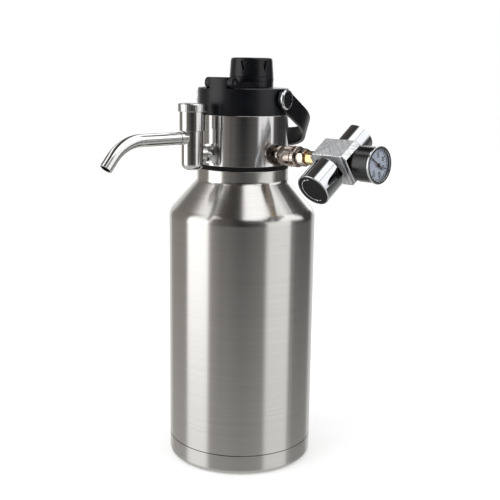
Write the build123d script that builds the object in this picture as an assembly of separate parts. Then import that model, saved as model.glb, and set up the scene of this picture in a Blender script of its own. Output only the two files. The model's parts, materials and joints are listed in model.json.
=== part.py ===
from build123d import *

import os
from math import cos, radians, sin, sqrt, tan

# Mini keg beer dispenser: a double-walled steel bottle whose screw-on collar carries a
# beer tap, a gas line with its regulator and gauge, and a lid with a drinking cap.
# Millimetres. The origin is the centre of the base, +Z is up, the tap points along -Y
# and the gas line along +X.

# ---- clearances -----------------------------------------------------------------
running_gap = 0.1      # radial play where one piece turns or slides in another
seat_gap = 0.05        # play between pieces screwed or pressed together
parting_gap = 0.3      # open line between a turning piece and its neighbour
overcut = 1.0          # how far a cutter reaches past what it cuts
small_round = 0.3      # broken edges
hex_turn = 30.0        # hexagons turned so that two flats face up and down
thread_depth = 0.25    # height of a drawn thread ridge
thread_play = 0.15     # play between a thread ridge and the wall facing it
thread_pitch = 3.0
thread_turns = 3

# ---- vessel ---------------------------------------------------------------------
vessel_diameter = 124.0
shell_wall = 0.8
base_cap_height = 17.0
base_round = 4.0
base_gap = 1.4         # space for the vacuum seal between base cap and shell floor
floor_relief = 1.0     # shell floor's round is this much larger than the base cap's
seal_diameter = 18.0
seal_gap = 0.2         # vacuum seal above the base cap
seam_chamfer = 0.3
shoulder_bottom = 215.0
shoulder_angle = 41.5  # cone angle from the vessel's axis
shoulder_round = 12.0
neck_diameter = 77.2
neck_height = 10.0
neck_round = 4.0
vacuum_gap = 4.7
inner_wall = 0.6
inner_floor = 14.0
inner_round = 8.0
mouth_diameter = 62.0

# ---- collar ---------------------------------------------------------------------
gasket_thickness = 3.4
gasket_edge = 0.68
gasket_inset = 0.4     # gasket outside the vessel's mouth
collar_diameter = 76.0
collar_wall = 1.8
collar_height = 41.2
collar_edge = 0.4
plug_depth = 13.4      # how far the screw plug reaches into the vessel's mouth
plug_wall = 2.6
plug_flange = 1.6
socket_depth = 16.0    # threaded ring that takes the lid
port_rise = 10.2       # gas line and tap shank, above the collar's lower edge

# ---- tap ------------------------------------------------------------------------
tap_reach = 56.4       # tap axis from the vessel's axis
tap_diameter = 17.6
tap_bottom_drop = 12.0  # tap body below the shank's axis
tap_bottom_round = 5.0
tap_body_height = 30.9
tap_neck_diameter = 13.0
tap_neck_height = 11.1
lower_chamber_diameter = 9.0
upper_chamber_diameter = 10.0
chamber_floor = 5.0
seat_rise = 5.0        # valve seat above the shank's axis
seat_thickness = 2.0
seat_bore = 5.0
stem_diameter = 4.0
stem_rise = 1.3        # stem above the turning sleeve
valve_disc_diameter = 8.4
valve_disc_thickness = 1.5
valve_washer_thickness = 0.85
valve_washer_inset = 0.3
bonnet_length = 9.0
bonnet_head = 1.4
bonnet_inset = 0.2     # packing nut's head inside the tap's neck
sleeve_diameter = 20.8
sleeve_height = 15.0
sleeve_web = 2.0
tap_cap_diameter = 23.1
tap_cap_height = 6.4
tap_cap_chamfer = 0.9
stem_travel = 1.875    # one and a half turns of a 1.25 mm thread

shank_diameter = 13.0
shank_bore = 6.0
shank_spigot_diameter = 10.0
shank_spigot_length = 5.1
shank_gap = 1.2        # shank's shoulder to the tap body
shank_nut_flats = 16.4
shank_nut_thickness = 4.3
shank_tail = 0.4       # shank beyond its nut
washer_diameter = 16.0
washer_thickness = 1.5

spout_rise = 13.6      # spout axis above the shank's axis
spout_socket_diameter = 10.3
spout_socket_length = 14.6  # from the tap's axis
spout_diameter = 10.0
spout_wall = 1.0
spout_spigot_length = 4.4
spout_spigot_inset = 0.4  # socket's spigot outside the tap's chamber
spout_straight = 38.0
spout_bend_radius = 34.0
spout_bend_angle = 50.0
spout_tip = 9.35

dip_tube_offset = 22.0  # dip tube axis from the vessel's axis
dip_tube_diameter = 8.0
dip_tube_wall = 1.0
dip_tube_clearance = 3.0  # above the inner floor
elbow_diameter = 10.4
elbow_leg = 10.0

# ---- gas line -------------------------------------------------------------------
port_diameter = 10.0
port_bore = 4.4
port_inner_length = 4.7   # behind the collar's inner wall
port_nut_flats = 14.0
port_nut_thickness = 4.3
port_disc_diameter = 17.0
port_disc_thickness = 2.7
port_disc_ridges = 28
port_disc_ridge = 0.5
port_neck_diameter = 12.0
port_neck_length = 3.3
port_ring_diameter = 14.6
port_ring_length = 2.6
nose_diameter = 8.4
nose_length = 17.4
nose_groove = 0.6
check_bore = 6.8
check_ball_diameter = 5.8
check_seat_inset = 0.5    # check seat, inside the port disc's front face
check_travel = 1.2
check_lip = 0.8           # crimped lip behind the check spring
check_lip_inset = 0.4
check_wire = 0.56

coupler_flats = 12.6      # rear hexagon
coupler_front_flats = 14.6
coupler_hex_length = 6.2
coupler_tube_diameter = 12.4
sleeve_ring_diameter = 17.0
sleeve_ring_length = 11.0
sleeve_travel = 2.2
sleeve_slot = 2.8
sleeve_groove_place = 6.6   # turned groove, from the sleeve's front end
sleeve_groove_width = 0.9
sleeve_groove_depth = 0.5
coupler_rear_length = 5.9
coupler_oring_width = 1.5
coupler_oring_depth = 1.0
coupler_oring_inset = 1.0
coupler_ring_round = 0.5
spring_wire = 0.7
spring_gap = 0.15         # play of the sleeve's spring
spring_pitch = 1.25       # pitch of a closed spring, in wire diameters

nipple_flats = 9.8
nipple_collar_length = 1.4
nipple_collar_diameter = 7.6
nipple_hex_length = 9.0
nipple_neck_length = 4.1
nipple_neck_diameter = 8.4
nipple_shaft_diameter = 6.8
nipple_head_diameter = 8.2
nipple_head_length = 1.0
nipple_head_gap = 0.6     # behind the plug nose
nipple_bore = 3.0
thread_diameter = 7.8     # small pipe threads into the regulator block
thread_length = 6.4

# ---- regulator ------------------------------------------------------------------
regulator_tilt = 35.0     # knob axis below the horizontal
block_near = 17.0         # block, from the knob's axis towards the vessel
block_far = 18.5          # and towards the gauge
block_low = 14.5
block_high = 13.5
block_half_depth = 10.0
block_chamfer = 3.6
block_round = 0.8
spring_bore = 19.2
diaphragm_ledge = 16.8
diaphragm_thickness = 0.8
chamber_depth = 2.0
gas_passage = 1.8
bonnet_diameter = 19.0
bonnet_bore = 13.2
bonnet_rise = 4.0         # regulator bonnet in front of the block
bonnet_top = 1.5
knob_gap = 3.2            # open neck between block and knob
knob_diameter = 27.5
knob_length = 22.0
knob_wall = 2.0
knob_front = 2.8
knob_rim = 0.9
knob_recess = 0.6
knob_face_thickness = 0.3
knob_round = 0.5
knob_hub_diameter = 9.0
screw_diameter = 5.8
screw_reach = 5.0         # lower end of the adjusting screw, in front of the block's centre
button_thickness = 1.8
button_height = 8.6
button_travel = 2.0       # two turns of a 1 mm thread
regulating_wire = 1.5
regulating_coil = 9.2     # mean diameter of the regulating spring
regulating_turns = 3
barrel_diameter = 24.4
barrel_length = 20.5
barrel_chamfer = 1.2
barrel_spigot_diameter = 16.0
barrel_spigot_length = 3.4
cartridge_mouth_diameter = 18.0
cartridge_mouth_depth = 3.5
cartridge_thread_diameter = 8.5   # 3/8 inch - 24 cartridge thread, at its crests
cartridge_thread_length = 8.5
cartridge_relief_diameter = 9.6
cartridge_relief_length = 5.5
pin_diameter = 2.4
pin_base_diameter = 4.0
pin_tip = 1.4
seal_thickness = 1.6

# ---- gauge ----------------------------------------------------------------------
gauge_hex_flats = 9.0
gauge_hex_length = 3.2
gauge_case_diameter = 27.0
gauge_case_length = 15.9
gauge_step = 1.4
gauge_step_length = 1.6
gauge_case_round = 0.8
gauge_wall = 0.8
gauge_floor = 1.2
bezel_diameter = 28.4
bezel_length = 1.6
bezel_lip = 0.6
bezel_lip_width = 0.5     # lip over the lens's edge
bezel_edge = 0.3
bezel_round = 0.5
lens_thickness = 0.8
dial_thickness = 0.4
dial_depth = 2.6          # dial's front behind the bezel's front
needle_length = 9.6
needle_tail = 5.4
needle_width = 0.9
needle_thickness = 0.36
needle_hub_diameter = 3.0
needle_hub_thickness = 0.52
needle_shaft_diameter = 1.0
needle_angle = -36.0      # pointing right of and below the dial's centre
bourdon_radius = 7.4
bourdon_tube_radius = 1.1
bourdon_arc = 250.0
bourdon_rise = 1.0        # bourdon tube above the case's floor
bourdon_arm = 2.0
post_diameter = 5.0
post_gap = 1.0            # post below the dial

# ---- lid ------------------------------------------------------------------------
lid_turn = 12.0           # lid, turned about Z
lid_height = 21.5
lid_round = 1.2
lid_wall = 2.6
lid_deck = 3.0
liner_depth = 15.0        # lid liner below the lid's lower edge
liner_wall = 2.2
liner_top = 2.0
liner_flange = 1.6
lid_gasket_thickness = 1.2
lid_gasket_play = 0.2
neck_thread_inset = 1.0   # drinking neck's last thread ridge, below its rim
spout_offset = 11.9       # drinking neck, from the lid's centre
neck_bore = 22.0
neck_tube_diameter = 26.4
neck_rise = 18.5
neck_tube_round = 1.5
hinge_offset = 32.5       # cap tether hinge, from the lid's centre
hinge_rise = 4.2          # hinge axis above the lid's deck
hinge_block_width = 16.6
knuckle_diameter = 8.9
knuckle_width = 4.6
knuckle_gap = 0.3
knuckle_relief = 0.45
tether_pin_diameter = 3.0

tether_gap = 0.4          # tether ring above the deck
tether_diameter = 36.8
tether_thickness = 4.6
tether_wall = 2.15

cap_height = 23.8
cap_skirt_gap = 0.7       # cap above the deck
cap_skirt_wall = 1.35
cap_base_diameter = 37.2
cap_base_height = 3.8
cap_grip_diameter = 36.9
cap_top_diameter = 34.6
cap_top_round = 1.8
cap_seam = 0.3
cap_ceiling = 4.4
cap_gasket_thickness = 1.55
notch_count = 6
notch_start = -20.0
notch_width = 5.0
notch_drop = 2.7          # notch's wide end below the cap's top
notch_length = 8.6
notch_depth = 1.2

# ---- carrying handle ------------------------------------------------------------
pivot_rise = 13.0         # pivot axis above the collar's top
handle_width = 16.9
handle_thickness = 2.6
handle_gap = 0.7          # inside face to the lid's wall
handle_straight = 30.2
handle_bow = 45.4
handle_dip = 28.4         # hanging angle below the horizontal
rivet_head_diameter = 16.8
rivet_head_height = 2.3
rivet_bevel = 1.0
rivet_rim = 1.0
rivet_recess = 0.6
rivet_inlay_thickness = 0.4
rivet_shaft_diameter = 6.8
rivet_depth = 5.2         # rivet shaft inside the lid's wall
rivet_boss_diameter = 12.0
rivet_boss_gap = 0.5      # boss outside the lid's liner

# ---- derived places -------------------------------------------------------------
vessel_r = vessel_diameter / 2
neck_r = neck_diameter / 2
mouth_r = mouth_diameter / 2
collar_r = collar_diameter / 2
collar_inner = collar_r - collar_wall
slope = radians(shoulder_angle)


def cone_height(depth, radius):
    """Height where the shoulder cone, moved inward by depth, has this radius."""
    return shoulder_bottom + (vessel_r - radius) / tan(slope) - depth / sin(slope)


neck_bottom = cone_height(0, neck_r)
neck_top = neck_bottom + neck_height
collar_bottom = neck_top + gasket_thickness
collar_top = collar_bottom + collar_height
port_height = collar_bottom + port_rise
plug_r = mouth_r - thread_depth - thread_play
plug_bore = plug_r - plug_wall
plug_top = collar_bottom + plug_flange
deck_height = collar_top + lid_height
shell_floor = shell_wall + base_gap

# ---- frames ---------------------------------------------------------------------
# In each port frame the local Z axis runs outward from the vessel's axis, and local X is up.
tap_port = Plane(origin=(0, 0, port_height), x_dir=(0, 0, 1), z_dir=(0, -1, 0)).location
spout_height = port_height + spout_rise
spout_port = Plane(origin=(0, 0, spout_height), x_dir=(0, 0, 1), z_dir=(0, -1, 0)).location
gas_port_frame = Plane(origin=(0, 0, port_height), x_dir=(0, 0, 1), z_dir=(1, 0, 0)).location
tap_axis = Pos(0, -tap_reach, 0)
lid_frame = Rot(0, 0, lid_turn)


# ---- shapes ---------------------------------------------------------------------
def turned(corners):
    """Solid of revolution about Z; a corner is (radius, height) or (radius, height, round)."""
    points = [(corner[0], corner[1]) for corner in corners]
    rounds = [corner[2] if len(corner) == 3 else 0 for corner in corners]
    if any(rounds):
        outline = FilletPolyline(*points, radius=rounds, close=True)
    else:
        outline = Polyline(*points, close=True)
    return revolve(Plane.XZ * make_face(outline), Axis.Z)


def rod(radius, low, high):
    return turned([(0, low), (radius, low), (radius, high), (0, high)])


def tube(outer, inner, low, high):
    return turned([(inner, low), (outer, low), (outer, high), (inner, high)])


def hex_bar(flats, low, high, turn=0.0):
    section = RegularPolygon(flats / 2, 6, major_radius=False, rotation=turn)
    return Pos(0, 0, low) * extrude(section, high - low)


def block(x_range, y_range, z_range):
    """Box between the given limits."""
    sizes = [high - low for low, high in (x_range, y_range, z_range)]
    middle = [(high + low) / 2 for low, high in (x_range, y_range, z_range)]
    return Pos(*middle) * Box(*sizes)


def thread_rings(radius, first, count):
    """Closed rings that stand for a thread; radius is the wall that they stand on."""
    width = thread_pitch / 4
    rings = []
    for turn in range(count):
        low = first + turn * thread_pitch
        rings.append(turned([
            (radius - thread_depth, low - width),
            (radius, low - width),
            (radius + thread_depth, low - width / 2),
            (radius + thread_depth, low + width / 2),
            (radius, low + width),
            (radius - thread_depth, low + width),
        ]))
    return rings


def coil(mean_radius, wire, low, high, pitch):
    """Helical spring about Z whose wire stays between low and high."""
    path = Pos(0, 0, low + wire / 2) * Helix(pitch, high - low - wire, mean_radius)
    section = Plane(origin=path @ 0, z_dir=path % 0) * Circle(wire / 2)
    return sweep(section, path, is_frenet=True)


def group(solids):
    return Compound(children=list(solids))


# ---- vessel pieces --------------------------------------------------------------
def make_base_cap():
    inner = vessel_r - shell_wall
    return turned([
        (0, 0),
        (vessel_r, 0, base_round),
        (vessel_r, base_cap_height - seam_chamfer),
        (vessel_r - seam_chamfer, base_cap_height),
        (inner, base_cap_height),
        (inner, shell_wall, base_round - shell_wall),
        (0, shell_wall),
    ])


def make_outer_shell():
    skirt = vessel_r - shell_wall
    skirt_round = base_round + floor_relief
    upper_inner = vessel_r - shell_wall
    neck_inner = neck_r - shell_wall
    return turned([
        (0, shell_floor),
        (skirt, shell_floor, skirt_round),
        (skirt, base_cap_height),
        (vessel_r - seam_chamfer, base_cap_height),
        (vessel_r, base_cap_height + seam_chamfer),
        (vessel_r, shoulder_bottom, shoulder_round),
        (neck_r, neck_bottom, neck_round),
        (neck_r, neck_top),
        (neck_inner, neck_top),
        (neck_inner, cone_height(shell_wall, neck_inner), neck_round + shell_wall),
        (upper_inner, cone_height(shell_wall, upper_inner), shoulder_round - shell_wall),
        (upper_inner, base_cap_height + shell_wall),
        (skirt - shell_wall, base_cap_height + shell_wall),
        (skirt - shell_wall, shell_floor + shell_wall, skirt_round - shell_wall),
        (0, shell_floor + shell_wall),
    ])


def make_inner_vessel():
    depth = shell_wall + vacuum_gap
    outer = vessel_r - depth
    inner = outer - inner_wall
    lip = neck_r - shell_wall
    tube_outer = mouth_r + inner_wall
    return turned([
        (0, inner_floor),
        (outer, inner_floor, inner_round),
        (outer, cone_height(depth, outer), inner_round),
        (tube_outer, cone_height(depth, tube_outer)),
        (tube_outer, neck_top - inner_wall),
        (lip, neck_top - inner_wall),
        (lip, neck_top),
        (mouth_r, neck_top),
        (mouth_r, cone_height(depth + inner_wall, mouth_r)),
        (inner, cone_height(depth + inner_wall, inner), inner_round - inner_wall),
        (inner, inner_floor + inner_wall, inner_round - inner_wall),
        (0, inner_floor + inner_wall),
    ])


def make_vacuum_seal():
    return rod(seal_diameter / 2, shell_wall + seal_gap, shell_floor)


# ---- collar pieces --------------------------------------------------------------
def make_neck_gasket():
    inner = mouth_r + gasket_inset
    return turned([
        (inner, neck_top),
        (neck_r, neck_top, gasket_edge),
        (neck_r, collar_bottom, gasket_edge),
        (inner, collar_bottom),
    ])


def make_collar_shell():
    shell = turned([
        (collar_inner, collar_bottom),
        (collar_r, collar_bottom, collar_edge),
        (collar_r, collar_top, collar_edge),
        (collar_inner, collar_top),
    ])
    shank_hole = tap_port * rod(shank_diameter / 2 + running_gap, collar_inner / 2, collar_r + overcut)
    gas_hole = gas_port_frame * rod(port_diameter / 2 + running_gap, collar_inner / 2, collar_r + overcut)
    return shell - shank_hole - gas_hole


def make_collar_plug():
    """Hollow screw plug with a flange that holds the collar's shell."""
    low = collar_bottom - gasket_thickness - plug_depth
    body = turned([
        (plug_bore, low),
        (plug_r, low),
        (plug_r, collar_bottom),
        (collar_inner, collar_bottom),
        (collar_inner, plug_top),
        (plug_bore, plug_top),
    ])
    first = low + thread_pitch
    for ring in thread_rings(plug_r, first, thread_turns):
        body += ring
    return body


def make_collar_thread_ring():
    return tube(collar_inner, mouth_r, collar_top - socket_depth, collar_top)


# ---- tap pieces -----------------------------------------------------------------
elbow_r = elbow_diameter / 2
shank_inner_end = collar_inner - shank_nut_thickness - shank_tail
shank_shoulder = tap_reach - tap_diameter / 2 - shank_gap
tap_r = tap_diameter / 2
tap_low = port_height - tap_bottom_drop
tap_body_top = tap_low + tap_body_height
tap_neck_top = tap_body_top + tap_neck_height
seat_low = port_height + seat_rise
seat_top = seat_low + seat_thickness
sleeve_low = tap_body_top + parting_gap
sleeve_top = sleeve_low + sleeve_height
stem_top = sleeve_top + stem_rise
spout_socket_end = tap_reach + spout_socket_length
socket_spigot_start = tap_reach + upper_chamber_diameter / 2 + spout_spigot_inset


def make_tap_shank():
    spigot = shank_spigot_diameter / 2
    return tap_port * turned([
        (shank_bore / 2, shank_inner_end),
        (shank_diameter / 2, shank_inner_end),
        (shank_diameter / 2, shank_shoulder),
        (spigot, shank_shoulder),
        (spigot, shank_shoulder + shank_spigot_length),
        (shank_bore / 2, shank_shoulder + shank_spigot_length),
    ])


def make_shank_nut():
    low = collar_inner - shank_nut_thickness
    nut = hex_bar(shank_nut_flats, low, collar_inner, hex_turn)
    nut -= rod(shank_diameter / 2 + seat_gap, low - overcut, collar_inner + overcut)
    return (tap_port * nut) & rod(collar_inner, collar_bottom, collar_top)


def make_shank_washers():
    """One washer hollowed to the collar, one hollowed to the tap body."""
    washer_r = washer_diameter / 2
    inside = tube(washer_r, shank_diameter / 2 + seat_gap, collar_inner, collar_r + washer_thickness)
    inside = tap_port * inside - rod(collar_r, collar_bottom, collar_top)
    outside = tube(washer_r, shank_spigot_diameter / 2 + seat_gap, shank_shoulder, tap_reach - tap_r / 2)
    outside = tap_port * outside - tap_axis * rod(tap_r, tap_low, tap_body_top)
    return group([inside, outside])


def make_tap_body():
    lower = lower_chamber_diameter / 2
    upper = upper_chamber_diameter / 2
    neck = tap_neck_diameter / 2
    body = tap_axis * turned([
        (0, tap_low),
        (tap_r, tap_low, tap_bottom_round),
        (tap_r, tap_body_top),
        (neck, tap_body_top),
        (neck, tap_neck_top),
        (upper, tap_neck_top),
        (upper, seat_top),
        (seat_bore / 2, seat_top),
        (seat_bore / 2, seat_low),
        (lower, seat_low),
        (lower, tap_low + chamber_floor),
        (0, tap_low + chamber_floor),
    ])
    inlet_end = shank_shoulder + shank_spigot_length + seat_gap
    body -= tap_port * rod(shank_spigot_diameter / 2 + seat_gap, shank_shoulder, inlet_end)
    body -= tap_port * rod(shank_bore / 2, shank_shoulder, tap_reach)
    outlet_r = spout_diameter / 2 - spout_wall
    body -= spout_port * rod(outlet_r + seat_gap, socket_spigot_start - seat_gap, tap_reach + tap_r + overcut)
    body -= spout_port * rod(outlet_r - spout_wall, tap_reach, tap_reach + tap_r)
    return body


def make_tap_bonnet():
    """Packing nut that closes the upper chamber round the valve stem."""
    bore = stem_diameter / 2 + running_gap
    low = tap_neck_top - bonnet_length
    plug = upper_chamber_diameter / 2 - seat_gap
    head = tap_neck_diameter / 2 - bonnet_inset
    return tap_axis * turned([
        (bore, low),
        (plug, low),
        (plug, tap_neck_top),
        (head, tap_neck_top),
        (head, tap_neck_top + bonnet_head),
        (bore, tap_neck_top + bonnet_head),
    ])


def make_valve_stem():
    disc_low = seat_top + seat_gap + valve_washer_thickness
    stem = stem_diameter / 2
    disc = valve_disc_diameter / 2
    return tap_axis * turned([
        (0, disc_low),
        (disc, disc_low),
        (disc, disc_low + valve_disc_thickness),
        (stem, disc_low + valve_disc_thickness),
        (stem, stem_top),
        (0, stem_top),
    ])


def make_valve_washer():
    low = seat_top + seat_gap
    return tap_axis * rod(valve_disc_diameter / 2 - valve_washer_inset, low, low + valve_washer_thickness)


def make_tap_handle():
    """Turning sleeve; its web carries the thread that lifts the stem."""
    bore = stem_diameter / 2 + running_gap
    inner = tap_neck_diameter / 2 + running_gap
    outer = sleeve_diameter / 2
    return tap_axis * turned([
        (inner, sleeve_low),
        (outer, sleeve_low),
        (outer, sleeve_top),
        (bore, sleeve_top),
        (bore, sleeve_top - sleeve_web),
        (inner, sleeve_top - sleeve_web),
    ])


def make_tap_cap():
    bore = stem_diameter / 2 + running_gap
    outer = tap_cap_diameter / 2
    top = sleeve_top + tap_cap_height
    pocket = stem_top + stem_travel + parting_gap
    return tap_axis * turned([
        (bore, sleeve_top),
        (outer - tap_cap_chamfer / 3, sleeve_top),
        (outer, sleeve_top + tap_cap_chamfer / 3),
        (outer, top - tap_cap_chamfer),
        (outer - tap_cap_chamfer, top),
        (0, top),
        (0, pocket),
        (bore, pocket),
    ])


def make_spout_socket():
    spigot = spout_diameter / 2 - spout_wall
    bore = spigot - spout_wall
    outer = spout_socket_diameter / 2
    body = tap_axis * rod(tap_r, tap_low, tap_body_top)
    collar = tube(outer, bore, tap_reach + tap_r / 2, spout_socket_end)
    collar = spout_port * collar - body
    spigot_tube = tube(spigot, bore, socket_spigot_start, tap_reach + tap_r + overcut)
    pocket = rod(spigot + seat_gap, spout_socket_end - spout_spigot_length - seat_gap, spout_socket_end)
    return collar + spout_port * spigot_tube - spout_port * pocket


def make_spout_tube():
    outer = spout_diameter / 2
    inner = outer - spout_wall
    turn = radians(spout_bend_angle)
    reach = spout_bend_radius * tan(turn / 2)
    start = Vector(0, 0, spout_socket_end)
    corner = start + Vector(0, 0, spout_straight + reach)
    end = corner + Vector(-sin(turn), 0, cos(turn)) * (reach + spout_tip)
    path = FilletPolyline(start, corner, end, radius=spout_bend_radius)
    section = Plane(origin=start, z_dir=(0, 0, 1)) * (Circle(outer) - Circle(inner))
    body = sweep(section, path)
    low = spout_socket_end - spout_spigot_length
    body += tube(inner, inner - spout_wall, low, spout_socket_end + overcut)
    return spout_port * body


def make_dip_elbow():
    """Right-angled fitting from the shank's inner end down to the dip tube."""
    bore = shank_bore / 2
    arm = tap_port * rod(elbow_r, dip_tube_offset, shank_inner_end)
    down = rod(elbow_r, port_height - elbow_leg, port_height)
    knee = Pos(0, 0, port_height) * Sphere(elbow_r)
    body = arm + Pos(0, -dip_tube_offset, 0) * (down + knee)
    body -= tap_port * rod(bore, dip_tube_offset, shank_inner_end)
    lower = rod(bore, port_height - elbow_leg, port_height)
    lower += Pos(0, 0, port_height) * Sphere(bore)
    pocket = rod(dip_tube_diameter / 2 + seat_gap, port_height - elbow_leg, port_height - elbow_leg / 2)
    return body - Pos(0, -dip_tube_offset, 0) * (lower + pocket)


def make_dip_tube():
    outer = dip_tube_diameter / 2
    low = inner_floor + inner_wall + dip_tube_clearance
    high = port_height - elbow_leg / 2 - seat_gap
    return Pos(0, -dip_tube_offset, 0) * tube(outer, outer - dip_tube_wall, low, high)


# ---- gas line pieces ------------------------------------------------------------
port_inner_end = collar_inner - port_inner_length
disc_front = collar_r + port_disc_thickness
neck_front = disc_front + port_neck_length
ring_front = neck_front + port_ring_length
nose_end = ring_front + nose_length
check_seat = disc_front - check_seat_inset
coupler_start = ring_front + parting_gap
sleeve_start = coupler_start + coupler_hex_length
sleeve_end = sleeve_start + sleeve_ring_length
rear_start = sleeve_end + sleeve_slot
coupler_end = rear_start + coupler_rear_length
nipple_shoulder = nose_end + nipple_head_gap + nipple_head_length
nipple_hex_start = coupler_end + nipple_collar_length
nipple_hex_end = nipple_hex_start + nipple_hex_length
block_start = nipple_hex_end + nipple_neck_length
regulator_x = block_start + block_near
gauge_start = regulator_x + block_far


def make_gas_port():
    """Bulkhead fitting: port through the collar's wall, check seat and plug nose."""
    bore = port_bore / 2
    pocket = check_bore / 2
    nose = nose_diameter / 2
    groove_low = nose_end - nose_length / 2
    return gas_port_frame * turned([
        (bore + check_lip_inset, port_inner_end),
        (port_diameter / 2, port_inner_end),
        (port_diameter / 2, disc_front),
        (port_neck_diameter / 2, disc_front),
        (port_neck_diameter / 2, neck_front),
        (port_ring_diameter / 2, neck_front, small_round),
        (port_ring_diameter / 2, ring_front, small_round),
        (nose, ring_front),
        (nose, groove_low),
        (nose - nose_groove, groove_low + nose_groove),
        (nose - nose_groove, groove_low + 3 * nose_groove),
        (nose, groove_low + 4 * nose_groove),
        (nose, nose_end - nose_groove),
        (nose - nose_groove, nose_end),
        (bore, nose_end),
        (bore, check_seat),
        (pocket, check_seat - (pocket - bore)),
        (pocket, port_inner_end + check_lip),
        (bore + check_lip_inset, port_inner_end + check_lip),
    ])


def make_gas_disc():
    """Ridged disc hollowed to the collar's wall."""
    outer = port_disc_diameter / 2
    disc = tube(outer, port_diameter / 2 + seat_gap, collar_inner, disc_front)
    through = 4 * port_disc_thickness
    for ridge in range(port_disc_ridges):
        angle = 360 * ridge / port_disc_ridges
        cutter = Pos(outer, 0, collar_r) * Rot(0, 0, 45) * Box(port_disc_ridge, port_disc_ridge, through)
        disc -= Rot(0, 0, angle) * cutter
    return gas_port_frame * disc - rod(collar_r, collar_bottom, collar_top)


def make_gas_nut():
    low = collar_inner - port_nut_thickness
    nut = hex_bar(port_nut_flats, low, collar_inner, hex_turn)
    nut -= rod(port_diameter / 2 + seat_gap, low - overcut, collar_inner + overcut)
    return (gas_port_frame * nut) & rod(collar_inner, collar_bottom, collar_top)


def check_ball_place():
    ball = check_ball_diameter / 2
    return check_seat - sqrt(ball ** 2 - (port_bore / 2) ** 2) - seat_gap


def make_check_ball():
    return gas_port_frame * Pos(0, 0, check_ball_place()) * Sphere(check_ball_diameter / 2)


def make_check_spring():
    wire = check_wire
    radius = check_bore / 2 - wire
    back = port_inner_end + check_lip + check_travel + parting_gap
    front = check_ball_place() - sqrt((check_ball_diameter / 2) ** 2 - (radius - wire / 2) ** 2)
    return gas_port_frame * coil(radius, wire, back, front, wire * spring_pitch)


def make_coupler_body():
    front = hex_bar(coupler_front_flats, coupler_start, sleeve_start, hex_turn)
    rear = hex_bar(coupler_flats, rear_start, coupler_end)
    body = rod(coupler_tube_diameter / 2, sleeve_start, rear_start)
    body += chamfered_hex(front, coupler_front_flats, coupler_start, sleeve_start)
    body += chamfered_hex(rear, coupler_flats, rear_start, coupler_end)
    body -= rod(nose_diameter / 2 + running_gap, coupler_start, nipple_shoulder)
    body -= rod(nipple_shaft_diameter / 2 + running_gap, coupler_start, coupler_end)
    seal = oring_place()
    groove = nose_diameter / 2 + coupler_oring_depth
    body -= rod(groove, seal, seal + coupler_oring_width)
    return gas_port_frame * body


def chamfered_hex(body, flats, low, high):
    """Hex ends with their corners turned down, as on a machined nut."""
    corner = flats / sqrt(3)
    edge = corner - flats / 2
    envelope = turned([
        (0, low),
        (flats / 2, low),
        (corner, low + edge),
        (corner, high - edge),
        (flats / 2, high),
        (0, high),
    ])
    return body & envelope


def oring_place():
    return nose_end - coupler_oring_width - coupler_oring_inset


def make_coupler_oring():
    seal = oring_place()
    outer = nose_diameter / 2 + coupler_oring_depth - seat_gap
    inner = nose_diameter / 2 + seat_gap
    return gas_port_frame * tube(outer, inner, seal + seat_gap, seal + coupler_oring_width - seat_gap)


def make_coupler_sleeve():
    """Release sleeve, with the pocket of its return spring open to the rear."""
    outer = sleeve_ring_diameter / 2
    inner = coupler_tube_diameter / 2 + running_gap
    pocket = inner + spring_wire + 2 * running_gap
    pocket_low = sleeve_start + sleeve_ring_length / 2
    groove = sleeve_start + sleeve_groove_place
    waist = outer - sleeve_groove_depth
    return gas_port_frame * turned([
        (inner, sleeve_start + seat_gap),
        (outer, sleeve_start + seat_gap, coupler_ring_round),
        (outer, groove),
        (waist, groove),
        (waist, groove + sleeve_groove_width),
        (outer, groove + sleeve_groove_width),
        (outer, sleeve_end, coupler_ring_round),
        (pocket, sleeve_end),
        (pocket, pocket_low),
        (inner, pocket_low),
    ])


def make_sleeve_spring():
    radius = coupler_tube_diameter / 2 + 2 * running_gap + spring_wire / 2
    low = sleeve_start + sleeve_ring_length / 2 + seat_gap
    high = rear_start - sleeve_travel - spring_gap
    return gas_port_frame * coil(radius, spring_wire, low, high, spring_wire * spring_pitch)


def make_inlet_nipple():
    bore = nipple_bore / 2
    shaft = nipple_shaft_diameter / 2
    head = nipple_head_diameter / 2
    collar = nipple_collar_diameter / 2
    neck = nipple_neck_diameter / 2
    head_low = nipple_shoulder - nipple_head_length
    body = turned([
        (bore, head_low),
        (head, head_low),
        (head, nipple_shoulder - seat_gap),
        (shaft, nipple_shoulder - seat_gap),
        (shaft, coupler_end + seat_gap),
        (collar, coupler_end + seat_gap),
        (collar, nipple_hex_start),
        (neck, nipple_hex_start),
        (neck, block_start),
        (thread_diameter / 2, block_start),
        (thread_diameter / 2, block_start + thread_length),
        (bore, block_start + thread_length),
    ])
    hexagon = hex_bar(nipple_flats, nipple_hex_start, nipple_hex_end)
    hexagon = chamfered_hex(hexagon, nipple_flats, nipple_hex_start, nipple_hex_end)
    hexagon -= rod(bore, nipple_hex_start, nipple_hex_end)
    return gas_port_frame * (body + hexagon)


# ---- regulator pieces -----------------------------------------------------------
# Local X runs along the gas line, local Z out of the knob, local Y up and back.
tilt = radians(regulator_tilt)
regulator_frame = Plane(
    origin=(regulator_x, 0, port_height), x_dir=(1, 0, 0), z_dir=(0, -cos(tilt), -sin(tilt))
).location
chamber_low = -chamber_depth - diaphragm_thickness / 2
ledge = -diaphragm_thickness / 2
bonnet_low = diaphragm_thickness / 2
bonnet_high = block_half_depth + bonnet_rise
knob_low = block_half_depth + knob_gap
knob_high = knob_low + knob_length
barrel_low = -block_half_depth - barrel_length
mouth_floor = barrel_low + cartridge_mouth_depth
thread_floor = mouth_floor + cartridge_thread_length
relief_floor = thread_floor + cartridge_relief_length
spigot_top = -block_half_depth + barrel_spigot_length


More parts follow.
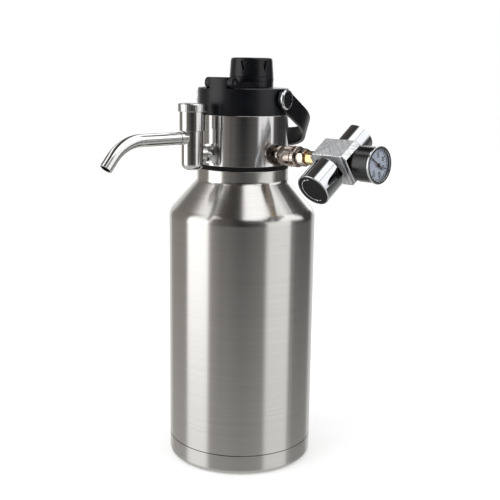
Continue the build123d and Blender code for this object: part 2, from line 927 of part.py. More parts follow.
def make_regulator_block():
    cut = block_chamfer
    outline = Polyline(
        (-block_near + cut, -block_low),
        (block_far - cut, -block_low),
        (block_far, -block_low + cut),
        (block_far, block_high - cut),
        (block_far - cut, block_high),
        (-block_near + cut, block_high),
        (-block_near, block_high - cut),
        (-block_near, -block_low + cut),
        close=True,
    )
    body = Pos(0, 0, -block_half_depth) * extrude(make_face(outline), 2 * block_half_depth)
    body = fillet(body.edges(), block_round)
    body -= rod(spring_bore / 2, ledge, block_half_depth)
    body -= rod(diaphragm_ledge / 2, chamber_low, block_half_depth)
    body -= rod(barrel_spigot_diameter / 2 + seat_gap, -block_half_depth, spigot_top)
    body -= rod(pin_base_diameter / 2, spigot_top, chamber_low)
    along_gas = Plane(origin=(0, 0, 0), x_dir=(0, 1, 0), z_dir=(1, 0, 0)).location
    hole = thread_diameter / 2 + seat_gap
    body -= along_gas * rod(hole, -block_near, -block_near + thread_length + seat_gap)
    body -= along_gas * rod(hole, block_far - thread_length - seat_gap, block_far)
    passage = Pos(0, 0, ledge - chamber_depth / 2) * along_gas
    span = diaphragm_ledge / 2 - overcut
    body -= passage * rod(gas_passage / 2, -block_near + thread_length - overcut, -span)
    body -= passage * rod(gas_passage / 2, span, block_far - thread_length + overcut)
    return regulator_frame * body


def make_diaphragm():
    return regulator_frame * rod(spring_bore / 2 - seat_gap, ledge, bonnet_low)


def make_regulator_bonnet():
    outer = bonnet_diameter / 2
    inner = bonnet_bore / 2
    hole = screw_diameter / 2 + running_gap
    return regulator_frame * turned([
        (inner, bonnet_low),
        (outer, bonnet_low),
        (outer, bonnet_high),
        (hole, bonnet_high),
        (hole, bonnet_high - bonnet_top),
        (inner, bonnet_high - bonnet_top),
    ])


def make_regulator_knob():
    outer = knob_diameter / 2
    cavity = outer - knob_wall
    hub = knob_hub_diameter / 2
    hub_low = bonnet_high + parting_gap
    front = knob_high - knob_recess
    hole = screw_diameter / 2 + seat_gap
    return regulator_frame * turned([
        (cavity, knob_low),
        (outer, knob_low, knob_round),
        (outer, knob_high, knob_round),
        (outer - knob_rim, knob_high),
        (outer - knob_rim, front),
        (0, front),
        (0, front - knob_front / 2),
        (hole, front - knob_front / 2),
        (hole, hub_low),
        (hub, hub_low),
        (hub, front - knob_front),
        (cavity, front - knob_front),
    ])


def make_knob_face():
    low = knob_high - knob_recess
    radius = knob_diameter / 2 - knob_rim - seat_gap
    return regulator_frame * rod(radius, low, low + knob_face_thickness)


def make_adjusting_screw():
    high = knob_high - knob_recess - knob_front / 2 - seat_gap
    return regulator_frame * rod(screw_diameter / 2, screw_reach, high)


def make_spring_button():
    outer = bonnet_bore / 2 - running_gap
    inner = screw_diameter / 2 + running_gap
    return regulator_frame * tube(outer, inner, button_height, button_height + button_thickness)


def make_regulating_spring():
    low = bonnet_low + button_travel + parting_gap
    high = button_height - seat_gap
    pitch = (high - low - regulating_wire) / regulating_turns
    return regulator_frame * coil(regulating_coil / 2, regulating_wire, low, high, pitch)


def make_cartridge_barrel():
    outer = barrel_diameter / 2
    mouth = cartridge_mouth_diameter / 2
    thread = cartridge_thread_diameter / 2
    relief = cartridge_relief_diameter / 2
    pin_hole = pin_base_diameter / 2
    return regulator_frame * turned([
        (mouth, barrel_low),
        (outer - barrel_chamfer, barrel_low),
        (outer, barrel_low + barrel_chamfer),
        (outer, -block_half_depth),
        (barrel_spigot_diameter / 2, -block_half_depth),
        (barrel_spigot_diameter / 2, spigot_top - seat_gap),
        (pin_hole, spigot_top - seat_gap),
        (pin_hole, relief_floor),
        (relief, relief_floor),
        (relief, thread_floor),
        (thread, thread_floor),
        (thread, mouth_floor),
        (mouth, mouth_floor),
    ])


def make_piercing_pin():
    base = pin_base_diameter / 2 - seat_gap
    shaft = pin_diameter / 2
    point = thread_floor + parting_gap
    return regulator_frame * turned([
        (0, point),
        (shaft, point + pin_tip),
        (shaft, relief_floor),
        (base, relief_floor),
        (base, spigot_top),
        (0, spigot_top),
    ])


def make_cartridge_seal():
    outer = cartridge_relief_diameter / 2 - seat_gap
    inner = pin_diameter / 2 + seat_gap
    return regulator_frame * tube(outer, inner, relief_floor - seal_thickness, relief_floor)


# ---- gauge pieces ---------------------------------------------------------------
case_start = gauge_start + gauge_hex_length
case_end = case_start + gauge_case_length
case_floor = case_start + gauge_step_length + gauge_floor
case_bore = gauge_case_diameter / 2 - gauge_wall
bezel_end = case_end + bezel_length
dial_front = bezel_end - dial_depth
dial_back = dial_front - dial_thickness
lens_back = bezel_end - bezel_lip - lens_thickness
needle_plane = (dial_front + lens_back) / 2


def make_gauge_stem():
    body = rod(thread_diameter / 2, gauge_start - thread_length, gauge_start)
    hexagon = hex_bar(gauge_hex_flats, gauge_start, case_start)
    return gas_port_frame * (body + chamfered_hex(hexagon, gauge_hex_flats, gauge_start, case_start))


def make_gauge_case():
    outer = gauge_case_diameter / 2
    step = outer - gauge_step
    step_end = case_start + gauge_step_length
    return gas_port_frame * turned([
        (0, case_start),
        (step, case_start, gauge_case_round),
        (step, step_end),
        (outer, step_end, gauge_case_round),
        (outer, case_end),
        (case_bore, case_end),
        (case_bore, case_floor),
        (0, case_floor),
    ])


def make_gauge_bezel():
    outer = bezel_diameter / 2
    return gas_port_frame * turned([
        (case_bore, case_end),
        (outer, case_end, bezel_edge),
        (outer, bezel_end, bezel_round),
        (case_bore - bezel_lip_width, bezel_end),
        (case_bore - bezel_lip_width, bezel_end - bezel_lip),
        (case_bore, bezel_end - bezel_lip),
    ])


def make_gauge_lens():
    return gas_port_frame * rod(case_bore - seat_gap, lens_back, lens_back + lens_thickness)


def make_gauge_dial():
    hole = needle_shaft_diameter / 2 + running_gap
    return gas_port_frame * tube(case_bore - seat_gap, hole, dial_back, dial_front)


def make_bourdon_tube():
    """Curved pressure tube on the post that carries the pointer's shaft."""
    height = case_floor + bourdon_tube_radius + bourdon_rise
    path = Pos(0, 0, height) * CenterArc((0, 0), bourdon_radius, 0, bourdon_arc)
    section = Plane(origin=path @ 0, z_dir=path % 0) * Circle(bourdon_tube_radius)
    curve = sweep(section, path)
    post_r = post_diameter / 2
    shaft_hole = needle_shaft_diameter / 2 + running_gap
    post = tube(post_r, shaft_hole, case_floor, dial_back - post_gap)
    arm = block((0, bourdon_radius), (-bourdon_arm / 2, bourdon_arm / 2), (case_floor, height))
    arm -= rod(shaft_hole, case_floor, height)
    return gas_port_frame * (curve + post + arm)


def make_gauge_needle():
    """Pointer, hub and shaft; angle counted from the right-hand side of the dial."""
    half = needle_width / 2
    blade = make_face(Polyline(
        (-needle_tail, -needle_width), (-needle_tail, needle_width),
        (0, half), (needle_length, half / 4), (needle_length, -half / 4), (0, -half),
        close=True,
    ))
    low = needle_plane - needle_thickness / 2
    body = Pos(0, 0, low) * extrude(blade, needle_thickness)
    body += rod(needle_hub_diameter / 2, low, low + needle_hub_thickness)
    shaft_low = case_floor + 2 * running_gap
    body += rod(needle_shaft_diameter / 2, shaft_low, low)
    # local X is up and local Y is to the viewer's right of the dial
    return gas_port_frame * Rot(0, 0, 90 + needle_angle) * body


# ---- lid pieces -----------------------------------------------------------------
hinge_height = deck_height + hinge_rise
pivot_height = collar_top + pivot_rise
knuckle_r = knuckle_diameter / 2
block_half = hinge_block_width / 2
arm_inner = block_half + knuckle_gap
arm_outer = arm_inner + knuckle_width
neck_tube_top = deck_height + neck_rise
neck_tube_r = neck_tube_diameter / 2
liner_r = plug_r
liner_low = collar_top - liner_depth
liner_high = deck_height - lid_deck
spout_axis = Pos(0, spout_offset, 0)


def across(radius, low, high, offset, height):
    """Rod along the lid's local X axis."""
    frame = Plane(origin=(0, offset, height), x_dir=(0, 0, 1), z_dir=(1, 0, 0)).location
    return frame * rod(radius, low, high)


def make_lid_shell():
    inner = collar_r - lid_wall
    shell = turned([
        (inner, collar_top),
        (collar_r, collar_top, small_round),
        (collar_r, deck_height, lid_round),
        (0, deck_height),
        (0, liner_high),
        (inner, liner_high),
    ])
    neck = turned([
        (0, liner_high - liner_top),
        (neck_tube_r, liner_high - liner_top),
        (neck_tube_r, neck_tube_top, neck_tube_round),
        (0, neck_tube_top),
    ])
    first = neck_tube_top - thread_turns * thread_pitch - neck_thread_inset
    for ring in thread_rings(neck_tube_r, first, thread_turns):
        neck += ring
    shell += spout_axis * neck
    lug_y = (-collar_r, -hinge_offset + knuckle_r)
    lug = block((-block_half, block_half), lug_y, (liner_high, hinge_height + knuckle_r))
    lug = fillet(lug.edges().filter_by(Axis.X).group_by(Axis.Z)[-1], lid_round)
    shell += lug & rod(collar_r, liner_high, hinge_height + knuckle_r)
    boss = rivet_boss_diameter / 2
    boss_start = liner_r + rivet_boss_gap
    for side in (-1, 1):
        ends = sorted((side * boss_start, side * (inner + overcut)))
        shell += across(boss, ends[0], ends[1], 0, pivot_height)
    for side in (-1, 1):
        ends = sorted((side * (collar_r - rivet_depth - seat_gap), side * (collar_r + overcut)))
        shell -= across(rivet_shaft_diameter / 2 + seat_gap, ends[0], ends[1], 0, pivot_height)
        ends = sorted((side * block_half, side * (arm_outer + knuckle_gap)))
        shell -= across(knuckle_r + knuckle_relief, ends[0], ends[1], -hinge_offset, hinge_height)
    pin = tether_pin_diameter / 2
    shell -= across(pin + seat_gap, -block_half - overcut, block_half + overcut, -hinge_offset, hinge_height)
    shell -= spout_axis * rod(neck_bore / 2, liner_high - liner_top, neck_tube_top)
    return lid_frame * shell


def make_lid_liner():
    """Inner cup of the lid, with the thread that screws into the collar."""
    inner = liner_r - liner_wall
    flange = collar_r - lid_wall
    flange_low = collar_top + lid_gasket_thickness
    cup = turned([
        (inner, liner_low),
        (liner_r, liner_low),
        (liner_r, flange_low),
        (flange, flange_low),
        (flange, flange_low + liner_flange),
        (liner_r, flange_low + liner_flange),
        (liner_r, liner_high),
        (0, liner_high),
        (0, liner_high - liner_top),
        (inner, liner_high - liner_top),
    ])
    for ring in thread_rings(liner_r, liner_low + thread_pitch, thread_turns):
        cup += ring
    hole = rod(neck_tube_r + seat_gap, liner_high - liner_top, liner_high)
    return lid_frame * (cup - spout_axis * hole)


def make_lid_gasket():
    outer = collar_r - lid_wall - lid_gasket_play
    inner = liner_r + 3 * lid_gasket_play
    return tube(outer, inner, collar_top, collar_top + lid_gasket_thickness)


def make_tether_pin():
    end = arm_outer
    return lid_frame * across(tether_pin_diameter / 2, -end, end, -hinge_offset, hinge_height)


def rivet_frame(side):
    plane = Plane(origin=(0, 0, pivot_height), x_dir=(0, 0, 1), z_dir=(side, 0, 0))
    return lid_frame * plane.location


handle_inner = collar_r + handle_gap
handle_outer = handle_inner + handle_thickness
rivet_low = handle_outer + running_gap
rivet_high = rivet_low + rivet_head_height - running_gap


def make_pivot_rivets():
    head = rivet_head_diameter / 2
    shaft = rivet_shaft_diameter / 2
    dish = head - rivet_bevel - rivet_rim
    rivet = turned([
        (0, collar_r - rivet_depth),
        (shaft, collar_r - rivet_depth),
        (shaft, rivet_low),
        (head, rivet_low),
        (head, rivet_high - rivet_bevel),
        (head - rivet_bevel, rivet_high),
        (dish, rivet_high),
        (dish, rivet_high - rivet_recess),
        (0, rivet_high - rivet_recess),
    ])
    return group(rivet_frame(side) * rivet for side in (-1, 1))


def make_rivet_inlays():
    radius = rivet_head_diameter / 2 - rivet_bevel - rivet_rim - seat_gap
    low = rivet_high - rivet_recess
    disc = rod(radius, low, low + rivet_inlay_thickness)
    return group(rivet_frame(side) * disc for side in (-1, 1))


def make_carry_handle():
    """Flat band bent into a bow; drawn level, then turned down to where it hangs."""
    half_width = handle_width / 2

    def bow(half, depth):
        legs = Rectangle(2 * half, handle_straight + half_width)
        legs = Pos(0, (handle_straight - half_width) / 2) * legs
        end = Pos(0, handle_straight) * Ellipse(half, depth)
        return legs + end

    band = bow(handle_outer, handle_bow) - bow(handle_inner, handle_bow - handle_thickness)
    open_end = Pos(0, -half_width) * Rectangle(2 * handle_inner, 2 * half_width)
    band -= open_end
    solid = Pos(0, 0, -half_width) * extrude(band, handle_width)
    reach = handle_straight + handle_bow + overcut
    side_view = block((-handle_outer, handle_outer), (0, reach), (-half_width, half_width))
    side_view += across(half_width, -handle_outer, handle_outer, 0, 0)
    solid = solid & side_view
    shaft = rivet_shaft_diameter / 2 + running_gap
    solid -= across(shaft, -handle_outer - overcut, handle_outer + overcut, 0, 0)
    return lid_frame * Pos(0, 0, pivot_height) * Rot(-handle_dip, 0, 0) * solid


def make_tether():
    """Ring round the cap, with two arms back to the hinge pin."""
    outer = tether_diameter / 2
    inner = outer - tether_wall
    low = deck_height + tether_gap
    high = low + tether_thickness
    ring = spout_axis * tube(outer, inner, low, high)
    for side in (-1, 1):
        ends = sorted((side * arm_inner, side * arm_outer))
        arm = block(ends, (-hinge_offset, spout_offset - outer / 2), (low, high))
        arm += across(knuckle_r, ends[0], ends[1], -hinge_offset, hinge_height)
        ring += arm
    ring -= spout_axis * rod(inner, low - overcut, high + overcut)
    pin = tether_pin_diameter / 2 + running_gap
    ring -= across(pin, -arm_outer - overcut, arm_outer + overcut, -hinge_offset, hinge_height)
    return lid_frame * ring


def make_chug_cap():
    low = deck_height + cap_skirt_gap
    ledge_height = deck_height + tether_gap + tether_thickness + running_gap
    seam = ledge_height + cap_base_height
    top = low + cap_height
    skirt = tether_diameter / 2 - tether_wall - running_gap
    bore = skirt - cap_skirt_wall
    base = cap_base_diameter / 2
    grip = cap_grip_diameter / 2
    crown = cap_top_diameter / 2
    ceiling = top - cap_ceiling
    cap = turned([
        (bore, low),
        (skirt, low),
        (skirt, ledge_height),
        (base, ledge_height),
        (base, seam - cap_seam),
        (grip - cap_seam, seam),
        (grip, seam + cap_seam),
        (crown, top, cap_top_round),
        (0, top),
        (0, ceiling),
        (bore, ceiling),
    ])
    for index in range(notch_count):
        angle = notch_start + 360 * index / notch_count
        wide = top - notch_drop
        notch = Polyline(
            (0, wide - notch_length), (-notch_width / 2, wide), (notch_width / 2, wide), close=True
        )
        wedge = extrude(Plane.YZ * make_face(notch), grip)
        cap -= Rot(0, 0, angle) * Pos(crown - notch_depth, 0, 0) * wedge
    return lid_frame * spout_axis * cap


def make_cap_gasket():
    low = neck_tube_top + seat_gap
    skirt = tether_diameter / 2 - tether_wall - running_gap
    radius = skirt - cap_skirt_wall - seat_gap
    return lid_frame * spout_axis * rod(radius, low, low + cap_gasket_thickness)


# ---- export ---------------------------------------------------------------------
makers = {
    "base_cap": make_base_cap,
    "outer_shell": make_outer_shell,
    "inner_vessel": make_inner_vessel,
    "vacuum_seal": make_vacuum_seal,
    "neck_gasket": make_neck_gasket,
    "collar_shell": make_collar_shell,
    "collar_plug": make_collar_plug,
    "collar_thread_ring": make_collar_thread_ring,
    "tap_shank": make_tap_shank,
    "shank_nut": make_shank_nut,
    "shank_washers": make_shank_washers,
    "tap_body": make_tap_body,
    "tap_bonnet": make_tap_bonnet,
    "spout_socket": make_spout_socket,
    "spout_tube": make_spout_tube,
    "dip_elbow": make_dip_elbow,
    "dip_tube": make_dip_tube,
    "valve_stem": make_valve_stem,
    "valve_washer": make_valve_washer,
    "tap_handle": make_tap_handle,
    "tap_cap": make_tap_cap,
    "gas_port": make_gas_port,
    "gas_disc": make_gas_disc,
    "gas_nut": make_gas_nut,
    "check_ball": make_check_ball,
    "check_spring": make_check_spring,
    "coupler_body": make_coupler_body,
    "coupler_oring": make_coupler_oring,
    "coupler_sleeve": make_coupler_sleeve,
    "sleeve_spring": make_sleeve_spring,
    "inlet_nipple": make_inlet_nipple,
    "regulator_block": make_regulator_block,
    "diaphragm": make_diaphragm,
    "regulator_bonnet": make_regulator_bonnet,
    "regulator_knob": make_regulator_knob,
    "knob_face": make_knob_face,
    "adjusting_screw": make_adjusting_screw,
    "spring_button": make_spring_button,
    "regulating_spring": make_regulating_spring,
    "cartridge_barrel": make_cartridge_barrel,
    "piercing_pin": make_piercing_pin,
    "cartridge_seal": make_cartridge_seal,
    "gauge_stem": make_gauge_stem,
    "gauge_case": make_gauge_case,
    "gauge_bezel": make_gauge_bezel,
    "gauge_lens": make_gauge_lens,
    "gauge_dial": make_gauge_dial,
    "bourdon_tube": make_bourdon_tube,
    "gauge_needle": make_gauge_needle,
    "lid_shell": make_lid_shell,
    "lid_liner": make_lid_liner,
    "lid_gasket": make_lid_gasket,
    "tether_pin": make_tether_pin,
    "pivot_rivets": make_pivot_rivets,
    "rivet_inlays": make_rivet_inlays,
    "carry_handle": make_carry_handle,
    "tether": make_tether,
    "chug_cap": make_chug_cap,
    "cap_gasket": make_cap_gasket,
}

os.makedirs("parts", exist_ok=True)
for name, make in makers.items():
    export_step(make(), f"parts/{name}.step")
print(f"{len(makers)} sub-parts, port axis {port_height:.2f}, lid deck {deck_height:.2f}")
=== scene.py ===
import json
import math

import bmesh
import bpy
from mathutils import Matrix, Vector


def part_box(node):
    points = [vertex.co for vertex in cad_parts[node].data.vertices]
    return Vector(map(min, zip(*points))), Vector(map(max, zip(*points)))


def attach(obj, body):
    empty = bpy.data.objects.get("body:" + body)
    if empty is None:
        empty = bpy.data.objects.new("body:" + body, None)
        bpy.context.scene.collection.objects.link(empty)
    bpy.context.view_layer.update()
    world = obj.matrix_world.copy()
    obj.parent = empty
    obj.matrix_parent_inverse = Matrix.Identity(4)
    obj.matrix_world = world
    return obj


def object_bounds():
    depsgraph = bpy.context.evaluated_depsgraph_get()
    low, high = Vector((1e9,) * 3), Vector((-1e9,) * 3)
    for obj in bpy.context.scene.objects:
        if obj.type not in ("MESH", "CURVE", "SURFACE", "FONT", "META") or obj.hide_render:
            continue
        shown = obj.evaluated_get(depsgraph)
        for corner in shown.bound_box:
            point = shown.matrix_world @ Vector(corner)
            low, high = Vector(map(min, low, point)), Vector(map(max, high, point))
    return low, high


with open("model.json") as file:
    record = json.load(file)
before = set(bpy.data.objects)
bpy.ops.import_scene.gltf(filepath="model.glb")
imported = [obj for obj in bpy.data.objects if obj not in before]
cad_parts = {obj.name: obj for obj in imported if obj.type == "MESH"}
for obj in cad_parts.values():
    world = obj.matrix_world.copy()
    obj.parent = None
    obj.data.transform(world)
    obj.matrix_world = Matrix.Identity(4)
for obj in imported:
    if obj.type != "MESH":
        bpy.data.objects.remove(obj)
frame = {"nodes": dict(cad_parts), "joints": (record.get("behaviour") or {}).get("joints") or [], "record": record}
cadLow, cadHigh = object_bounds()
nodes = frame["nodes"]
joints = {joint["name"]: joint for joint in frame["joints"]}
scene = bpy.context.scene
mm = 0.001
gasLine = Vector((1, 0, 0))  # from the vessel's axis out to the gauge
knobAxis = -Vector(joints["knob_turn"]["axis"])  # out of the knob's face
knobCentre = Vector(joints["knob_turn"]["pos_m"])
gaugeCentre = Vector(joints["needle_swing"]["pos_m"])
print("frame loaded:", len(nodes), "nodes")


def hexColour(text):  # sRGB hex to linear
    channels = [int(text[i:i + 2], 16) / 255 for i in (1, 3, 5)]
    linear = [c / 12.92 if c <= 0.04045 else ((c + 0.055) / 1.055) ** 2.4 for c in channels]
    return (*linear, 1.0)


def addNode(tree, kind, values=None, links=None, **settings):
    # values and links go by the input's name or number; a link is a node, or a node and its output
    node = tree.nodes.new(kind)
    for name, value in settings.items():
        setattr(node, name, value)
    for key, value in (values or {}).items():
        node.inputs[key].default_value = value
    for key, source in (links or {}).items():
        origin, output = source if isinstance(source, tuple) else (source, 0)
        tree.links.new(origin.outputs[output], node.inputs[key])
    return node


def addPiece(name, mesh, material, body):
    mesh.materials.clear()
    mesh.materials.append(material)
    piece = bpy.data.objects.new(name, mesh)
    scene.collection.objects.link(piece)
    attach(piece, body)


def reach(node, origin, direction):
    # lowest and highest place of a CAD node along a direction, from origin
    places = [(vertex.co - origin).dot(direction) for vertex in nodes[node].data.vertices]
    return min(places), max(places)


def planeMatrix(origin, across, up):
    # local X runs across, local Y up, and local Z out of the plane
    out = across.cross(up)
    matrix = Matrix((across, up, out)).transposed().to_4x4()
    matrix.translation = origin
    return matrix


def startMaterial(name, sockets):
    # sockets holds the values of the shader's own sockets
    material = bpy.data.materials.new(name)
    material.use_nodes = True
    tree = material.node_tree
    shader = tree.nodes["Principled BSDF"]
    for socket, value in sockets.items():
        shader.inputs[socket].default_value = hexColour(value) if isinstance(value, str) else value
    return material, tree, shader


# patterns that several finishes share
def grain(tree, size, detail=2.0):
    # even noise with spots of that size
    place = addNode(tree, "ShaderNodeTexCoord")
    return addNode(tree, "ShaderNodeTexNoise", {"Scale": 1 / size, "Detail": detail},
                   {"Vector": (place, "Object")})


def brushLines(tree, spacing, streak, tilt=(0, 0, 0), detail=2.0):
    # noise drawn out into lines that run round local Z; spacing and streak are the sizes of its grain
    place = addNode(tree, "ShaderNodeTexCoord")
    mapped = addNode(tree, "ShaderNodeMapping", {"Rotation": tilt, "Scale": (streak, streak, spacing)},
                     {"Vector": (place, "Object")}, vector_type="TEXTURE")
    return addNode(tree, "ShaderNodeTexNoise", {"Scale": 1.0, "Detail": detail, "Roughness": 0.6},
                   {"Vector": mapped})


def blended(tree, first, second, share):
    # that share of the first pattern, and the rest of the second
    part = addNode(tree, "ShaderNodeMath", {1: share}, {0: first}, operation="MULTIPLY")
    return addNode(tree, "ShaderNodeMath", {1: 1 - share}, {0: second, 2: part}, operation="MULTIPLY_ADD")


def placeTest(tree, axis, operation, values):
    # 1 where the place along an object axis passes the test, and 0 elsewhere
    place = addNode(tree, "ShaderNodeTexCoord")
    parts = addNode(tree, "ShaderNodeSeparateXYZ", links={"Vector": (place, "Object")})
    return addNode(tree, "ShaderNodeMath", values, {0: (parts, axis)}, operation=operation)


# what a pattern does to a finish
def varied(tree, shader, pattern, look, low=0.3, high=0.7):
    # between low and high, where most of a noise lies, the pattern moves the finish from its dark to its
    # light colour, and from its smoothest to its roughest
    share = addNode(tree, "ShaderNodeMapRange", {"From Min": low, "From Max": high}, {"Value": pattern})
    ramp = addNode(tree, "ShaderNodeValToRGB", links={"Fac": share})
    for element, colour in zip(ramp.color_ramp.elements, (look["dark"], look["light"])):
        element.color = hexColour(colour)
    tree.links.new(ramp.outputs["Color"], shader.inputs["Base Color"])
    if "smooth" in look:
        ends = {"From Min": low, "From Max": high, "To Min": look["smooth"], "To Max": look["rough"]}
        rough = addNode(tree, "ShaderNodeMapRange", ends, {"Value": pattern})
        tree.links.new(rough.outputs["Result"], shader.inputs["Roughness"])
    return ramp


def overlaid(tree, shader, under, where, colour):
    # lays another colour over a varied one
    mixed = addNode(tree, "ShaderNodeMix", {7: hexColour(colour)}, {"Factor": where, 6: under},
                    data_type="RGBA")
    tree.links.new(mixed.outputs[2], shader.inputs["Base Color"])


def broken(tree, shader, edge, height=None, depth=0.0):
    # edge is the radius of the broken edges that the light catches; height is a pattern of that depth
    rounded = addNode(tree, "ShaderNodeBevel", {"Radius": edge}, samples=4)
    if height is None:
        tree.links.new(rounded.outputs["Normal"], shader.inputs["Normal"])
        return
    bump = addNode(tree, "ShaderNodeBump", {"Strength": 1.0, "Distance": depth},
                   {"Height": height, "Normal": rounded})
    tree.links.new(bump.outputs["Normal"], shader.inputs["Normal"])


def grainedFinish(name, sockets, look):
    # one even grain for colour, roughness and, where the look has a depth, height
    material, tree, shader = startMaterial(name, sockets)
    spots = grain(tree, look["grain"])
    under = varied(tree, shader, spots, look)
    # where the look has a seam, paint the shade in its groove as a darker band across an object axis
    if "seam" in look:
        seam = placeTest(tree, look["seamAxis"], "COMPARE", {1: look["seam"], 2: look["seamShadeHalf"]})
        overlaid(tree, shader, under, seam, look["seamShadeColour"])
    if "depth" in look:
        broken(tree, shader, look["edge"], spots, look["depth"])
    elif "edge" in look:
        broken(tree, shader, look["edge"])
    return material


brushing = {"coarser": 3, "fineShare": 0.65}  # a second, coarser set of lines under the fine one


def brushedStainless(name, look):
    # 304 sheet, belt-brushed round its axis: highlights stretch along the axis, and fine lines cross them
    material, tree, shader = startMaterial(name, {
        "Metallic": 1.0, "Anisotropic": look["anisotropy"], "Anisotropic Rotation": 0.25})
    fine = brushLines(tree, look["spacing"], look["streak"])
    coarse = brushLines(tree, look["spacing"] * brushing["coarser"], look["streak"])
    lines = blended(tree, fine, coarse, brushing["fineShare"])
    under = varied(tree, shader, lines, look)
    # where the look has a seam, paint the shade in its groove as a darker band at that height
    if "seam" in look:
        seam = placeTest(tree, "Z", "COMPARE", {1: look["seam"], 2: look["seamShadeHalf"]})
        overlaid(tree, shader, under, seam, look["seamShadeColour"])
    around = addNode(tree, "ShaderNodeTangent", direction_type="RADIAL", axis="Z")
    tree.links.new(around.outputs["Tangent"], shader.inputs["Tangent"])
    broken(tree, shader, look["edge"], lines, look["depth"])
    return material


vesselLook = {
    "dark": "#c2c0bd", "light": "#cccac7", "smooth": 0.1785, "rough": 0.2415, "anisotropy": 0.8,
    "spacing": 0.35 * mm,  # belt marks are finer; drawn as coarse as they have to be to show
    "streak": 180 * mm, "depth": 0.0003 * mm, "edge": 0.5 * mm,
    "seam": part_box("base_cap")[1].z, "seamShadeHalf": 0.35 * mm,  # painted shade in the groove of the seam round the foot
    "seamShadeColour": "#55524e",
}
collarLook = {
    "dark": "#c5c3c3", "light": "#d0cfcf", "smooth": 0.10625, "rough": 0.14375, "anisotropy": 0.8,
    "spacing": 0.35 * mm, "streak": 100 * mm, "depth": 0.0004 * mm, "edge": 0.35 * mm,
}
tapLook = {
    "dark": "#c6c5c3", "light": "#d4d3d1", "smooth": 0.1105, "rough": 0.1495, "anisotropy": 0.75,
    "spacing": 0.3 * mm, "streak": 40 * mm, "depth": 0.0004 * mm, "edge": 0.3 * mm,
}
vesselSteel = brushedStainless("brushedStainless", vesselLook)
collarSteel = brushedStainless("fineBrushedStainless", collarLook)
tapSteel = brushedStainless("turnedStainless", tapLook)


def knurledStainless(axis):
    # straight-knurled grip: fine upright ridges that break the light into specks
    look = {"dark": "#c2c1c0", "light": "#e2e2e1", "grain": 0.8 * mm, "roughness": 0.24,
            "ridges": 84, "depth": 0.05 * mm, "edge": 0.3 * mm}
    material, tree, shader = startMaterial("knurledStainless", {
        "Metallic": 1.0, "Roughness": look["roughness"]})
    place = addNode(tree, "ShaderNodeTexCoord")
    local = addNode(tree, "ShaderNodeMapping", {"Location": axis}, {"Vector": (place, "Object")},
                    vector_type="TEXTURE")
    angle = addNode(tree, "ShaderNodeTexGradient", links={"Vector": local}, gradient_type="RADIAL")
    ridge = 1 / look["ridges"]  # share of a turn
    wave = addNode(tree, "ShaderNodeMath", {1: ridge}, {0: (angle, "Fac")}, operation="PINGPONG")
    height = addNode(tree, "ShaderNodeMath", {1: ridge}, {0: wave}, operation="DIVIDE")
    varied(tree, shader, grain(tree, look["grain"]), look, 0.0, 1.0)
    broken(tree, shader, look["edge"], height, look["depth"])
    return material


knurledSteel = knurledStainless(joints["tap_turn"]["pos_m"])

# drawn tube, buffed along its length: a soft mirror with faint wandering marks, and painted shade in the seam's
# groove at its socket
tubeSteel = grainedFinish("buffedStainlessTube", {"Metallic": 1.0}, {
    "dark": "#d4d4d3", "light": "#e2e2e1", "smooth": 0.07, "rough": 0.11,
    "grain": 1.6 * mm, "depth": 0.0005 * mm, "edge": 0.25 * mm,
    "seamAxis": "Y", "seam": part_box("spout_socket")[0].y, "seamShadeHalf": 0.25 * mm, "seamShadeColour": "#5a5754"})

# electropolished inside: brighter and smoother than the brushed outside, with a faint orange peel
innerSteel = grainedFinish("electropolishedStainless", {"Metallic": 1.0}, {
    "dark": "#c4c4c3", "light": "#d3d3d2", "smooth": 0.18, "rough": 0.26,
    "grain": 2.2 * mm, "depth": 0.002 * mm, "edge": 0.2 * mm})

# drawn spring wire: grey, oiled, faintly streaked
wire = grainedFinish("springWire", {"Metallic": 1.0}, {
    "dark": "#9a9a9a", "light": "#b8b8b6", "smooth": 0.2, "rough": 0.32, "grain": 1.0 * mm})

# oxide-blackened steel: dark brown-grey with a dull shine on its ridges
blackSteel = grainedFinish("blackenedSteel", {"Metallic": 1.0}, {
    "dark": "#4a443f", "light": "#6b635c", "smooth": 0.2, "rough": 0.34,
    "grain": 1.2 * mm, "edge": 0.15 * mm})

# black silicone: dull, nearly without a highlight, with a little dust
rubber = grainedFinish("siliconeRubber", {"Specular IOR Level": 0.14}, {
    "dark": "#0b0b0c", "light": "#141415", "smooth": 0.5, "rough": 0.62,
    "grain": 1.5 * mm, "edge": 0.3 * mm})

# black stoved enamel on the gauge's steel case: glossy with a slight orange peel
enamel = grainedFinish("stovedBlackEnamel", {"Specular IOR Level": 0.5}, {
    "dark": "#08090b", "light": "#101114", "smooth": 0.16, "rough": 0.22,
    "grain": 1.4 * mm, "depth": 0.0015 * mm, "edge": 0.35 * mm})

# screen-printed tin dial: white, faintly blue, almost flat
dialWhite = grainedFinish("dialPaint", {"Roughness": 0.5}, {
    "dark": "#b9c4dc", "light": "#cdd6e8", "grain": 6 * mm})

# screen-printed inks: thin, slightly uneven
blackInk = grainedFinish("blackInk", {"Roughness": 0.55}, {
    "dark": "#101014", "light": "#1b1c22", "grain": 0.6 * mm})
whiteInk = grainedFinish("whiteInk", {"Roughness": 0.55}, {
    "dark": "#c9c9c9", "light": "#efefef", "grain": 0.6 * mm})


def nickelPlate():
    # bright nickel on turned brass: a warm, slightly pink mirror over fine lathe marks
    look = {"dark": "#b9aaa0", "light": "#d2c7bf", "smooth": 0.09, "rough": 0.16,
            "spacing": 0.35 * mm, "streak": 6 * mm, "depth": 0.0012 * mm, "edge": 0.25 * mm}
    material, tree, shader = startMaterial("brightNickelPlate", {"Metallic": 1.0})
    marks = brushLines(tree, look["spacing"], look["streak"], (0, math.pi / 2, 0))
    varied(tree, shader, marks, look)
    broken(tree, shader, look["edge"], marks, look["depth"])
    return material


